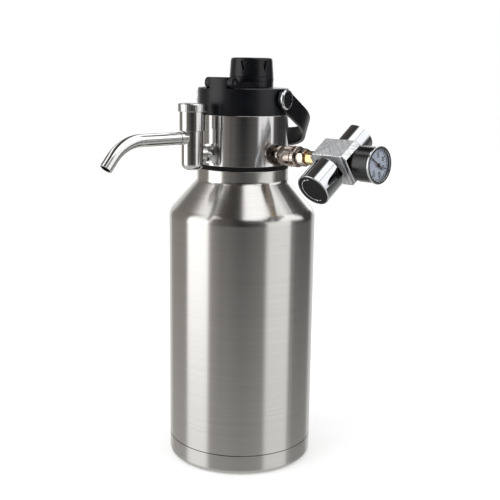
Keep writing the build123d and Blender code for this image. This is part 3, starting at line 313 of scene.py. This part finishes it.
def turnedBrass(name, plated=None):
    # free-cutting brass straight from the lathe: pale gold with rings, tarnished a little; up to the place
    # called plated along the gas line it has taken the coupler's nickel
    look = {"dark": "#d0b47c", "light": "#f0dcae", "smooth": 0.2, "rough": 0.32,
            "spacing": 0.4 * mm, "streak": 6 * mm, "tarnish": 4 * mm, "marksShare": 0.5,
            "depth": 0.0015 * mm, "edge": 0.25 * mm, "nickel": "#c6b9b0"}
    material, tree, shader = startMaterial(name, {"Metallic": 1.0})
    marks = brushLines(tree, look["spacing"], look["streak"], (0, math.pi / 2, 0))
    mixed = blended(tree, marks, grain(tree, look["tarnish"]), look["marksShare"])
    under = varied(tree, shader, mixed, look)
    if plated:
        overlaid(tree, shader, under, placeTest(tree, "X", "LESS_THAN", {1: plated}), look["nickel"])
    broken(tree, shader, look["edge"], marks, look["depth"])
    return material


nickel = nickelPlate()
brass = turnedBrass("turnedBrass")
platedLength = 6.6 * mm  # of the nipple, from the coupler
nippleBrass = turnedBrass("platedBrass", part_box("inlet_nipple")[0].x + platedLength)


def crossBrushedAluminium():
    # milled 6061 block, scored both ways with a pad and clear-anodised: a pale veil over a weave of darker
    # lines, and a bright milled chamfer
    look = {"dark": "#a6a8ab", "light": "#fafbfc", "depth": 0.01 * mm, "edge": 0.4 * mm,
            "spacing": 0.6 * mm, "streak": 20 * mm,  # pad scores are finer; drawn coarser so that they show
            "chamfer": 3.65 * mm, "faceRough": 0.36, "chamferRough": 0.12, "veiledMetal": 0.55}
    material, tree, shader = startMaterial("crossBrushedAluminium", {})
    scores = []
    for way in (gasLine + knobAxis, gasLine - knobAxis):
        tilt = way.to_track_quat("Z", "Y").to_euler()
        scores.append(brushLines(tree, look["spacing"], look["streak"], tilt, 1.0))
    weave = addNode(tree, "ShaderNodeMath", links={0: scores[0], 1: scores[1]}, operation="MINIMUM")
    varied(tree, shader, weave, look)
    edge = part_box("regulator_block")[1].x - look["chamfer"]
    milled = placeTest(tree, "X", "GREATER_THAN", {1: edge})
    for socket, face, chamfer in (("Roughness", look["faceRough"], look["chamferRough"]),
                                  ("Metallic", look["veiledMetal"], 1.0)):
        level = addNode(tree, "ShaderNodeMapRange", {"To Min": face, "To Max": chamfer}, {"Value": milled})
        tree.links.new(level.outputs["Result"], shader.inputs[socket])
    broken(tree, shader, look["edge"], weave, look["depth"])
    return material


def mirrorChrome():
    # decorative chrome plate: near-perfect mirror; only the plating's slight waviness bends the reflections
    look = {"waves": 9 * mm, "depth": 0.004 * mm, "edge": 0.3 * mm}
    material, tree, shader = startMaterial("mirrorChrome", {
        "Base Color": "#c8cbce", "Metallic": 1.0, "Roughness": 0.045})
    broken(tree, shader, look["edge"], grain(tree, look["waves"], 0.0), look["depth"])
    return material


def mouldedPolypropylene():
    # injection-moulded black polypropylene: satin, with a fine spark-eroded grain and a cool sheen
    look = {"dark": "#08090d", "light": "#0d0f15", "smooth": 0.26, "rough": 0.32, "cloud": 14 * mm,
            "grain": 0.28 * mm,  # real grain is about 0.1 mm; drawn coarser so that it shows
            "depth": 0.004 * mm, "edge": 0.45 * mm}
    material, tree, shader = startMaterial("mouldedPolypropylene", {"Specular IOR Level": 0.34})
    varied(tree, shader, grain(tree, look["cloud"]), look)
    broken(tree, shader, look["edge"], grain(tree, look["grain"]), look["depth"])
    return material


ringPeriod = math.tau / 20  # spacing of the wave texture's rings at a scale of 1


def spunBlackDisc():
    # black anodised disc, spun: fine circles that catch the light as faint rings
    look = {"dark": "#0b0b0d", "light": "#17181b", "smooth": 0.3, "rough": 0.42,
            "spacing": 1.122 * mm,  # turning marks are finer; drawn coarser so that they show
            "depth": 0.01 * mm, "edge": 0.1 * mm}
    material, tree, shader = startMaterial("spunBlackDisc", {"Specular IOR Level": 0.2})
    tilt = (math.acos(knobAxis.z), 0, 0)
    size = look["spacing"] / ringPeriod
    place = addNode(tree, "ShaderNodeTexCoord")
    local = addNode(tree, "ShaderNodeMapping",
                    {"Location": knobCentre, "Rotation": tilt, "Scale": (size, size, size)},
                    {"Vector": (place, "Object")}, vector_type="TEXTURE")
    rings = addNode(tree, "ShaderNodeTexWave", {"Scale": 1.0, "Distortion": 0.0}, {"Vector": local},
                    wave_type="RINGS", rings_direction="Z")
    varied(tree, shader, (rings, "Fac"), look, 0.0, 1.0)
    broken(tree, shader, look["edge"], (rings, "Fac"), look["depth"])
    return material


def clearGlass():
    # flat soda-lime window: clear, with a crisp reflection
    return startMaterial("clearGlass", {
        "Base Color": "#ffffff", "Roughness": 0.0, "IOR": 1.5, "Transmission Weight": 1.0})[0]


aluminium = crossBrushedAluminium()
chrome = mirrorChrome()
plastic = mouldedPolypropylene()
blackDisc = spunBlackDisc()
glass = clearGlass()

finishes = {
    vesselSteel: ["base_cap", "outer_shell"],
    collarSteel: ["collar_shell"],
    tapSteel: ["tap_body", "tap_handle"],
    knurledSteel: ["tap_cap"],
    tubeSteel: ["spout_socket", "spout_tube", "tap_shank", "shank_washers"],
    innerSteel: ["inner_vessel", "vacuum_seal", "collar_plug", "collar_thread_ring", "shank_nut",
                 "dip_elbow", "dip_tube", "valve_stem"],
    nickel: ["gas_port", "gas_nut", "coupler_body", "coupler_sleeve"],
    nippleBrass: ["inlet_nipple"],
    brass: ["tap_bonnet", "adjusting_screw", "spring_button", "gauge_stem", "bourdon_tube"],
    aluminium: ["regulator_block"],
    chrome: ["regulator_bonnet", "regulator_knob", "cartridge_barrel", "gauge_bezel", "pivot_rivets"],
    wire: ["check_ball", "check_spring", "sleeve_spring", "regulating_spring", "piercing_pin",
           "tether_pin"],
    blackSteel: ["gas_disc"],
    plastic: ["lid_shell", "lid_liner", "carry_handle", "tether", "chug_cap"],
    rubber: ["neck_gasket", "valve_washer", "coupler_oring", "diaphragm", "cartridge_seal", "lid_gasket",
             "cap_gasket"],
    enamel: ["gauge_case"],
    dialWhite: ["gauge_dial"],
    blackInk: ["gauge_needle"],
    blackDisc: ["knob_face", "rivet_inlays"],
    glass: ["gauge_lens"],
}
for material, names in finishes.items():
    for name in names:
        for slot in nodes[name].material_slots:
            slot.material = material
print("finishes:", len(finishes))


# trees of geometry nodes for what repeats
def startTree(name, inputs):
    tree = bpy.data.node_groups.new(name, "GeometryNodeTree")
    for label, kind in inputs.items():
        tree.interface.new_socket(name=label, in_out="INPUT", socket_type=kind)
    tree.interface.new_socket(name="Geometry", in_out="OUTPUT", socket_type="NodeSocketGeometry")
    return tree, tree.nodes.new("NodeGroupInput")


def finishTree(tree, given, geometry):
    solid = addNode(tree, "GeometryNodeRealizeInstances", links={"Geometry": geometry})
    painted = addNode(tree, "GeometryNodeSetMaterial", links={
        "Geometry": solid, "Material": (given, "Material")})
    addNode(tree, "NodeGroupOutput", links={"Geometry": painted})
    return tree


def treeMesh(tree, values, matrix):
    # the tree's result as a plain mesh, set in its place
    holder = bpy.data.objects.new("holder", bpy.data.meshes.new("holder"))
    scene.collection.objects.link(holder)
    modifier = holder.modifiers.new("nodes", "NODES")
    modifier.node_group = tree
    for item in tree.interface.items_tree:
        if item.in_out == "INPUT":
            modifier[item.identifier] = values[item.name]
    view = bpy.context.evaluated_depsgraph_get()
    mesh = bpy.data.meshes.new_from_object(holder.evaluated_get(view))
    bpy.data.objects.remove(holder)
    mesh.transform(matrix)
    return mesh


def tickTree():
    # bars set round an arc, each pointing away from the centre
    tree, given = startTree("dialTicks", {
        "Count": "NodeSocketInt", "Radius": "NodeSocketFloat", "Length": "NodeSocketFloat",
        "Width": "NodeSocketFloat", "Height": "NodeSocketFloat", "Start": "NodeSocketFloat",
        "Sweep": "NodeSocketFloat", "Material": "NodeSocketMaterial"})
    index = addNode(tree, "GeometryNodeInputIndex")
    last = addNode(tree, "ShaderNodeMath", {1: 1.0}, {0: (given, "Count")}, operation="SUBTRACT")
    share = addNode(tree, "ShaderNodeMath", links={0: index, 1: last}, operation="DIVIDE")
    angle = addNode(tree, "ShaderNodeMath", links={0: share, 1: (given, "Sweep"), 2: (given, "Start")},
                    operation="MULTIPLY_ADD")
    turn = addNode(tree, "ShaderNodeCombineXYZ", links={"Z": angle})
    middle = addNode(tree, "ShaderNodeCombineXYZ", links={"X": (given, "Radius")})
    place = addNode(tree, "ShaderNodeVectorRotate", links={"Vector": middle, "Rotation": turn},
                    rotation_type="EULER_XYZ")
    points = addNode(tree, "GeometryNodePoints", links={"Count": (given, "Count"), "Position": place})
    size = addNode(tree, "ShaderNodeCombineXYZ", links={
        "X": (given, "Length"), "Y": (given, "Width"), "Z": (given, "Height")})
    bar = addNode(tree, "GeometryNodeMeshCube", links={"Size": size})
    facing = addNode(tree, "FunctionNodeEulerToRotation", links={"Euler": turn})
    bars = addNode(tree, "GeometryNodeInstanceOnPoints", links={
        "Points": points, "Instance": bar, "Rotation": facing})
    return finishTree(tree, given, bars)


def arcTree():
    # flat band that follows an arc
    tree, given = startTree("printedArc", {
        "Radius": "NodeSocketFloat", "Start": "NodeSocketFloat", "Sweep": "NodeSocketFloat",
        "Width": "NodeSocketFloat", "Height": "NodeSocketFloat", "Points": "NodeSocketInt",
        "Material": "NodeSocketMaterial"})
    arc = addNode(tree, "GeometryNodeCurveArc", links={
        "Resolution": (given, "Points"), "Radius": (given, "Radius"), "Start Angle": (given, "Start"),
        "Sweep Angle": (given, "Sweep")})
    outline = addNode(tree, "GeometryNodeCurvePrimitiveQuadrilateral", links={
        "Width": (given, "Width"), "Height": (given, "Height")})
    band = addNode(tree, "GeometryNodeCurveToMesh", {"Fill Caps": True}, {
        "Curve": arc, "Profile Curve": outline})
    return finishTree(tree, given, band)


def helixTree():
    # screw thread: a ridge with a square outline that climbs round its bore
    tree, given = startTree("screwThread", {
        "Radius": "NodeSocketFloat", "Pitch": "NodeSocketFloat", "Turns": "NodeSocketFloat",
        "Ridge": "NodeSocketFloat", "Points": "NodeSocketInt", "Material": "NodeSocketMaterial"})
    length = addNode(tree, "ShaderNodeMath", links={0: (given, "Pitch"), 1: (given, "Turns")},
                     operation="MULTIPLY")
    path = addNode(tree, "GeometryNodeCurveSpiral", links={
        "Resolution": (given, "Points"), "Rotations": (given, "Turns"), "Start Radius": (given, "Radius"),
        "End Radius": (given, "Radius"), "Height": length})
    outline = addNode(tree, "GeometryNodeCurvePrimitiveCircle", {"Resolution": 4}, {
        "Radius": (given, "Ridge")})
    ridge = addNode(tree, "GeometryNodeCurveToMesh", {"Fill Caps": True}, {
        "Curve": path, "Profile Curve": outline})
    return finishTree(tree, given, ridge)


ticks = tickTree()
arcs = arcTree()
helix = helixTree()


def joinMeshes(name, meshes):
    joined = bmesh.new()
    for mesh in meshes:
        joined.from_mesh(mesh)
        bpy.data.meshes.remove(mesh)
    mesh = bpy.data.meshes.new(name)
    joined.to_mesh(mesh)
    joined.free()
    return mesh


def prism(outline, height, matrix):
    # flat shape with a small thickness; outline runs anticlockwise
    shape = bmesh.new()
    lower = [shape.verts.new((x, y, 0)) for x, y in outline]
    upper = [shape.verts.new((x, y, height)) for x, y in outline]
    shape.faces.new(upper)
    shape.faces.new(reversed(lower))
    for side in range(len(outline)):
        shape.faces.new((lower[side - 1], lower[side], upper[side], upper[side - 1]))
    mesh = bpy.data.meshes.new("prism")
    shape.to_mesh(mesh)
    shape.free()
    mesh.transform(matrix)
    return mesh


def textMesh(words, size, bold, height, matrix):
    curve = bpy.data.curves.new("words", "FONT")
    curve.body = words
    curve.size = size
    curve.extrude = height / 2
    curve.offset = size * bold
    curve.align_x = "CENTER"
    curve.align_y = "CENTER"
    holder = bpy.data.objects.new("words", curve)
    scene.collection.objects.link(holder)
    view = bpy.context.evaluated_depsgraph_get()
    mesh = bpy.data.meshes.new_from_object(holder.evaluated_get(view))
    bpy.data.objects.remove(holder)
    mesh.transform(matrix)
    return mesh


# the dial's print goes clockwise from zero, where the needle rests
needleTip = max((vertex.co - gaugeCentre for vertex in nodes["gauge_needle"].data.vertices),
                key=lambda place: place.yz.length)
dial = {
    "start": math.atan2(needleTip.z, needleTip.y), "sweep": math.radians(-270),
    "numbers": 6, "step": 20, "between": 4,
    "ring": 11.4 * mm, "ringWidth": 0.3 * mm, "ringPoints": 90,
    "longTick": 2.6 * mm, "longWidth": 0.9 * mm, "shortTick": 1.6 * mm, "shortWidth": 0.5 * mm,
    "numberRadius": 7.3 * mm, "numberSize": 3.7 * mm, "numberBold": 0.02,
    "numberTurn": math.radians(135),  # from zero's direction, so that the numbers stand as the dial does
    "ink": 0.06 * mm, "lift": 0.02 * mm,
}


def makeDialPrint():
    centre = gaugeCentre.copy()
    centre.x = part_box("gauge_dial")[1].x + dial["lift"] + dial["ink"] / 2
    face = planeMatrix(centre, Vector((0, 1, 0)), Vector((0, 0, 1)))
    longCount = dial["numbers"]
    shortCount = (longCount - 1) * dial["between"] + 1
    common = {"Height": dial["ink"], "Start": dial["start"], "Sweep": dial["sweep"], "Material": blackInk}
    meshes = []
    for count, length, width in ((longCount, dial["longTick"], dial["longWidth"]),
                                 (shortCount, dial["shortTick"], dial["shortWidth"])):
        middle = dial["ring"] - length / 2
        meshes.append(treeMesh(ticks, {
            **common, "Count": count, "Radius": middle, "Length": length, "Width": width}, face))
    meshes.append(treeMesh(arcs, {
        **common, "Radius": dial["ring"], "Width": dial["ringWidth"], "Points": dial["ringPoints"]}, face))
    addPiece("dial_scale", joinMeshes("dial_scale", meshes), blackInk, "regulator")
    upright = Matrix.Rotation(dial["start"] + dial["numberTurn"], 4, "Z")
    numbers = []
    for index in range(longCount):
        angle = dial["start"] + dial["sweep"] * index / (longCount - 1)
        spot = Vector((math.cos(angle), math.sin(angle), 0)) * dial["numberRadius"]
        placed = face @ Matrix.Translation(spot) @ upright
        words = str(index * dial["step"])
        numbers.append(textMesh(words, dial["numberSize"], dial["numberBold"], dial["ink"], placed))
    addPiece("dial_numbers", joinMeshes("dial_numbers", numbers), blackInk, "regulator")


makeDialPrint()

# broad black pointer sheet riveted on the thin needle, and its domed hub
pointer = {
    "root": 0.75 * mm, "tip": 0.3 * mm, "tail": 1.0 * mm,  # half widths
    "sheet": 0.1 * mm, "short": 0.3 * mm,  # thickness, and how far it ends before the needle does
    "hub": 1.7 * mm, "rise": 0.3 * mm, "sides": 32, "steps": 5,
}


def domeMesh(radius, rise, sides, steps, matrix):
    shape = bmesh.new()
    rings = []
    for step in range(steps):
        lean = math.pi / 2 * step / steps
        out = radius * math.cos(lean)
        height = rise * math.sin(lean)
        ring = []
        for side in range(sides):
            angle = math.tau * side / sides
            ring.append(shape.verts.new((out * math.cos(angle), out * math.sin(angle), height)))
        rings.append(ring)
    for lower, upper in zip(rings, rings[1:]):
        for side in range(sides):
            after = (side + 1) % sides
            shape.faces.new((lower[side], lower[after], upper[after], upper[side]))
    shape.faces.new(rings[-1])
    shape.faces.new(reversed(rings[0]))
    mesh = bpy.data.meshes.new("dome")
    shape.to_mesh(mesh)
    shape.free()
    mesh.transform(matrix)
    return mesh


def makePointer():
    along = Vector((0, needleTip.y, needleTip.z))
    length = along.length - pointer["short"]
    along.normalize()
    centre = gaugeCentre.copy()
    tail = -reach("gauge_needle", centre, along)[0] - pointer["short"]
    centre.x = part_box("gauge_needle")[1].x
    face = planeMatrix(centre, along, gasLine.cross(along))
    outline = [(-tail, -pointer["tail"]), (0, -pointer["root"]), (length, -pointer["tip"]),
               (length, pointer["tip"]), (0, pointer["root"]), (-tail, pointer["tail"])]
    sheet = prism(outline, pointer["sheet"], face)
    raised = face @ Matrix.Translation((0, 0, pointer["sheet"]))
    dome = domeMesh(pointer["hub"], pointer["rise"], pointer["sides"], pointer["steps"], raised)
    mesh = joinMeshes("needle_pointer", [sheet, dome])
    addPiece("needle_pointer", mesh, blackInk, "gauge_needle")


makePointer()
print("gauge dial printed")

# arc with an arrow head at each end, and a minus and a plus beyond them, on the knob's face
knobMarks = {
    "radius": 9.9 * mm, "start": math.radians(116), "sweep": math.radians(148), "width": 0.34 * mm,
    "points": 60, "ink": 0.06 * mm, "headLength": 1.7 * mm, "headWidth": 1.5 * mm,
    "signRadius": 9.9 * mm, "signSize": 1.9 * mm, "signWidth": 0.42 * mm, "signGap": math.radians(22),
}


def makeKnobMarks():
    front = reach("knob_face", knobCentre, knobAxis)[1] + knobMarks["ink"] / 2
    face = planeMatrix(knobCentre + knobAxis * front, gasLine, knobAxis.cross(gasLine))
    start = knobMarks["start"]
    end = start + knobMarks["sweep"]
    meshes = [treeMesh(arcs, {
        "Radius": knobMarks["radius"], "Start": start, "Sweep": knobMarks["sweep"],
        "Width": knobMarks["width"], "Height": knobMarks["ink"], "Points": knobMarks["points"],
        "Material": whiteInk}, face)]
    half = knobMarks["headWidth"] / 2
    for angle, way in ((start, -1), (end, 1)):
        head = [(-half, 0), (half, 0), (0, way * knobMarks["headLength"])]
        if way < 0:
            head.reverse()
        spot = Matrix.Rotation(angle, 4, "Z") @ Matrix.Translation((knobMarks["radius"], 0, 0))
        meshes.append(prism(head, knobMarks["ink"] / 2, face @ spot))
    size = knobMarks["signSize"] / 2
    width = knobMarks["signWidth"] / 2
    bar = [(-size, -width), (size, -width), (size, width), (-size, width)]
    for angle, turns in ((start - knobMarks["signGap"], (0, 90)), (end + knobMarks["signGap"], (90,))):
        spot = Matrix.Rotation(angle, 4, "Z") @ Matrix.Translation((knobMarks["signRadius"], 0, 0))
        for turn in turns:
            placed = face @ spot @ Matrix.Rotation(math.radians(turn), 4, "Z")
            meshes.append(prism(bar, knobMarks["ink"] / 2, placed))
    addPiece("knob_marks", joinMeshes("knob_marks", meshes), whiteInk, "regulator_knob")


makeKnobMarks()

# thread in the cartridge barrel: 24 turns to the inch, a little sunk in the bore's wall
thread = {"pitch": 25.4 / 24 * mm, "ridge": 0.28 * mm, "proud": 1 / 3, "points": 48}


def makeCartridgeThread():
    mount = next(item for item in frame["record"]["mounts"] if item["name"] == "cartridge_thread")
    inward = -Vector(mount["axis"]).normalized()
    length = mount["dims"]["length_mm"] * mm
    start = Vector(mount["pos_m"]) - inward * (length / 2 - thread["ridge"])
    turns = (length - 2 * thread["ridge"]) / thread["pitch"]
    mesh = treeMesh(helix, {
        "Radius": mount["dims"]["r_mm"] * mm + thread["ridge"] * thread["proud"], "Pitch": thread["pitch"],
        "Turns": turns, "Ridge": thread["ridge"], "Points": thread["points"], "Material": chrome},
        planeMatrix(start, gasLine, inward.cross(gasLine)))
    addPiece("cartridge_thread_ridge", mesh, chrome, "regulator")


makeCartridgeThread()
print("knob marks and thread made")

# the studio round the object, as bare metal shows it
studio = {
    "turn": math.radians(45),  # the front of the studio, from the gas line's direction
    # walls: greys by degrees round the object, from behind it over the left and the front to the right
    "walls": [(-180, "#c8c8c7"), (-150, "#c4c4c3"), (-143, "#7c7974"), (-96, "#78756f"), (-91, "#ffffff"),
              (-55, "#ffffff"), (-50, "#6c6863"), (-40, "#524f4c"), (-24, "#4f4c49"), (-12, "#363433"),
              (-2, "#1c1b1b"), (6, "#1e1d1d"), (18, "#393837"), (36, "#545352"), (43, "#e6e6e6"),
              (80, "#eaeaea"), (85, "#504e4d"), (104, "#2b2a2a"), (136, "#383636"), (148, "#b8b8b8"),
              (180, "#c8c8c7")],
    # ceiling: greys across it from left to right, by its distance over its height above the object
    "ceiling": [(-1.6, "#5c5854"), (-0.96, "#5c5854"), (-0.9, "#f0f0f1"), (-0.62, "#f0f0f2"),
                (-0.52, "#46423e"), (-0.12, "#343130"), (-0.02, "#4a4846"), (0.08, "#ffffff"),
                (0.55, "#ffffff"), (0.57, "#4a4846"), (0.60, "#4a4846"), (0.62, "#f4f4f4"),
                (3.0, "#fafafa")],
    "leastRise": 0.05,  # height above the object under which the ceiling goes on as it is
    # dark post behind on the right, up to the ceiling: greys by degrees, as the walls'
    "post": [(-180, "#ffffff"), (109, "#ffffff"), (115, "#343231"), (148, "#343231"), (153, "#ffffff"),
             (180, "#ffffff")],
    "floor": "#b4b4b2",
    # where each begins and where all of it is there, by the height of the direction; the ceiling goes by a
    # leant height, which brings it further down behind the object and on its right
    "fades": {"floor": (-0.08, -0.74, "LINEAR"), "post": (0.86, 0.76, "LINEAR"),
              "ceiling": (0.38, 0.56, "SMOOTHSTEP"), "lampFoot": (-0.36, -0.22, "SMOOTHSTEP"),
              "lampHead": (0.44, 0.34, "SMOOTHSTEP")},
    "ceilingLean": (-0.36, 0.24, 1.0),
    # strengths of the panels and of the lamp on the left, and how far the ceiling goes from one to the
    # other
    "panelPower": 1.55, "lampPower": 2.2, "ceilingShare": 0.3,
    "lampSide": -0.55, "lampFront": -0.07,  # the lamp's reach to the right and to the back
    "plain": "#ededed", "white": "#ffffff",
}


def makeWorld():
    # white to the camera and through glass; metal shows the same sweep with the lamps' panels and dark
    # flags in front of it, and everything else gets plain light
    world = bpy.data.worlds.new("studio")
    scene.world = world
    world.use_nodes = True
    tree = world.node_tree
    tree.nodes.clear()
    place = addNode(tree, "ShaderNodeTexCoord")
    turned = addNode(tree, "ShaderNodeMapping", {"Rotation": (0, 0, studio["turn"])},
                     {"Vector": (place, "Generated")})
    parts = addNode(tree, "ShaderNodeSeparateXYZ", links={"Vector": turned})
    angle = addNode(tree, "ShaderNodeTexGradient", links={"Vector": turned}, gradient_type="RADIAL")
    leant = addNode(tree, "ShaderNodeVectorMath", {1: studio["ceilingLean"]}, {0: turned},
                    operation="DOT_PRODUCT")
    fades = {}
    for name, (start, end, kind) in studio["fades"].items():
        source = (leant, "Value") if name == "ceiling" else (parts, "Z")
        fades[name] = addNode(tree, "ShaderNodeMapRange", {"From Min": start, "From Max": end},
                              {"Value": source}, interpolation_type=kind)

    rise = addNode(tree, "ShaderNodeMath", {1: studio["leastRise"]}, {0: (parts, "Z")}, operation="MAXIMUM")
    across = addNode(tree, "ShaderNodeMath", links={0: (parts, "Y"), 1: rise}, operation="DIVIDE")
    first, last = studio["ceiling"][0][0], studio["ceiling"][-1][0]
    share = addNode(tree, "ShaderNodeMapRange", {"From Min": first, "From Max": last}, {"Value": across})
    ramps = {}
    for name, factor in (("ceiling", share), ("post", (angle, "Fac")), ("walls", (angle, "Fac"))):
        greys = studio[name]
        first, last = greys[0][0], greys[-1][0]
        ramps[name] = addNode(tree, "ShaderNodeValToRGB", links={"Fac": factor})
        elements = ramps[name].color_ramp.elements
        while len(elements) < len(greys):
            elements.new(0.5)
        for element, (spot, grey) in zip(elements, greys):
            element.position = (spot - first) / (last - first)
            element.color = hexColour(grey)
    ceiling = addNode(tree, "ShaderNodeMix", data_type="RGBA", blend_type="MULTIPLY", links={
        "Factor": fades["post"], 6: ramps["ceiling"], 7: ramps["post"]})
    seen = addNode(tree, "ShaderNodeMix", {7: hexColour(studio["floor"])},
                   {"Factor": fades["floor"], 6: ramps["walls"]}, data_type="RGBA")
    seen = addNode(tree, "ShaderNodeMix", links={"Factor": fades["ceiling"], 6: (seen, 2), 7: (ceiling, 2)},
                   data_type="RGBA")

    side = addNode(tree, "ShaderNodeMath", {1: studio["lampSide"]}, {0: (parts, "Y")},
                   operation="LESS_THAN")
    lamp = addNode(tree, "ShaderNodeMath", {1: studio["lampFront"]}, {0: (parts, "X")},
                   operation="GREATER_THAN")
    for limit in (side, fades["lampFoot"], fades["lampHead"]):
        lamp = addNode(tree, "ShaderNodeMath", links={0: lamp, 1: limit}, operation="MULTIPLY")
    above = addNode(tree, "ShaderNodeMath", {1: studio["ceilingShare"]}, {0: fades["ceiling"]},
                    operation="MULTIPLY")
    lamp = addNode(tree, "ShaderNodeMath", links={0: lamp, 1: above}, operation="MAXIMUM")
    powers = {"To Min": studio["panelPower"], "To Max": studio["lampPower"]}
    power = addNode(tree, "ShaderNodeMapRange", powers, {"Value": lamp})

    metal = addNode(tree, "ShaderNodeBackground", links={"Color": (seen, 2), "Strength": power})
    plain = addNode(tree, "ShaderNodeBackground", {"Color": hexColour(studio["plain"]), "Strength": 1.0})
    white = addNode(tree, "ShaderNodeBackground", {"Color": hexColour(studio["white"]), "Strength": 1.0})
    path = addNode(tree, "ShaderNodeLightPath")
    straight = addNode(tree, "ShaderNodeMath", operation="MAXIMUM", links={
        0: (path, "Is Camera Ray"), 1: (path, "Is Transmission Ray")})
    body = addNode(tree, "ShaderNodeMixShader", links={0: (path, "Is Glossy Ray"), 1: plain, 2: metal})
    final = addNode(tree, "ShaderNodeMixShader", links={0: straight, 1: body, 2: white})
    addNode(tree, "ShaderNodeOutputWorld", links={"Surface": final})


makeWorld()


def makeFloor():
    # matt white sweep; the camera sees it a little lifted, with the object's own shadow on it
    floor = {"half": 6.0, "colour": "#fbfbfb", "roughness": 0.9, "lift": 0.2}
    half = floor["half"]
    corners = [(-half, -half, 0), (half, -half, 0), (half, half, 0), (-half, half, 0)]
    mesh = bpy.data.meshes.new("floor")
    mesh.from_pydata(corners, [], [(0, 1, 2, 3)])
    material, tree, shader = startMaterial("mattSweep", {
        "Base Color": floor["colour"], "Roughness": floor["roughness"], "Specular IOR Level": 0.0,
        "Emission Color": "#ffffff"})
    path = addNode(tree, "ShaderNodeLightPath")
    lift = addNode(tree, "ShaderNodeMath", {1: floor["lift"]}, {0: (path, "Is Camera Ray")},
                   operation="MULTIPLY")
    tree.links.new(lift.outputs[0], shader.inputs["Emission Strength"])
    mesh.materials.append(material)
    piece = bpy.data.objects.new("floor", mesh)
    scene.collection.objects.link(piece)
    piece.visible_glossy = False


makeFloor()


def makeLamps():
    # one broad soft lamp over the left shoulder and a weaker one from the right; places in metres, watts
    lamps = {
        "key": {"place": (-0.4, -1.3, 1.5), "size": 1.2, "power": 9.0},
        "fill": {"place": (1.5, 0.3, 1.0), "size": 1.0, "power": 4.0},
    }
    aim = (cadLow + cadHigh) / 2
    for name, lamp in lamps.items():
        light = bpy.data.lights.new(name, "AREA")
        light.size = lamp["size"]
        light.energy = lamp["power"]
        holder = bpy.data.objects.new(name, light)
        scene.collection.objects.link(holder)
        place = Vector(lamp["place"])
        holder.location = place
        holder.rotation_euler = (aim - place).to_track_quat("-Z", "Y").to_euler()
        holder.visible_glossy = False


makeLamps()


def makeCamera():
    # degrees, and millimetres from the vessel's axis and the floor; focal and picture are in pixels
    camera = {"azimuth": 45.0, "side": 7.149, "distance": 751.39, "height": 334.06, "pitch": 11.608,
              "roll": 0.768, "focal": 888.64, "picture": 500, "sensor": 36.0, "nearest": 10.0}
    turn = math.radians(camera["azimuth"])
    pitch = math.radians(camera["pitch"])
    roll = math.radians(camera["roll"])
    right = Vector((math.cos(turn), math.sin(turn), 0))
    ahead = Vector((-math.sin(turn), math.cos(turn), 0))
    up = Vector((0, 0, 1))
    view = ahead * math.cos(pitch) - up * math.sin(pitch)
    tilted = ahead * math.sin(pitch) + up * math.cos(pitch)
    across = right * math.cos(roll) + tilted * math.sin(roll)
    upward = tilted * math.cos(roll) - right * math.sin(roll)
    matrix = Matrix((across, upward, -view)).transposed().to_4x4()
    matrix.translation = (right * camera["side"] - ahead * camera["distance"] + up * camera["height"]) * mm
    data = bpy.data.cameras.new("camera")
    data.sensor_width = camera["sensor"]
    data.lens = camera["focal"] / camera["picture"] * camera["sensor"]
    data.clip_start = camera["nearest"] * mm
    holder = bpy.data.objects.new("camera", data)
    scene.collection.objects.link(holder)
    holder.matrix_world = matrix
    scene.camera = holder


makeCamera()
scene.view_settings.view_transform = "Standard"
print("studio set")
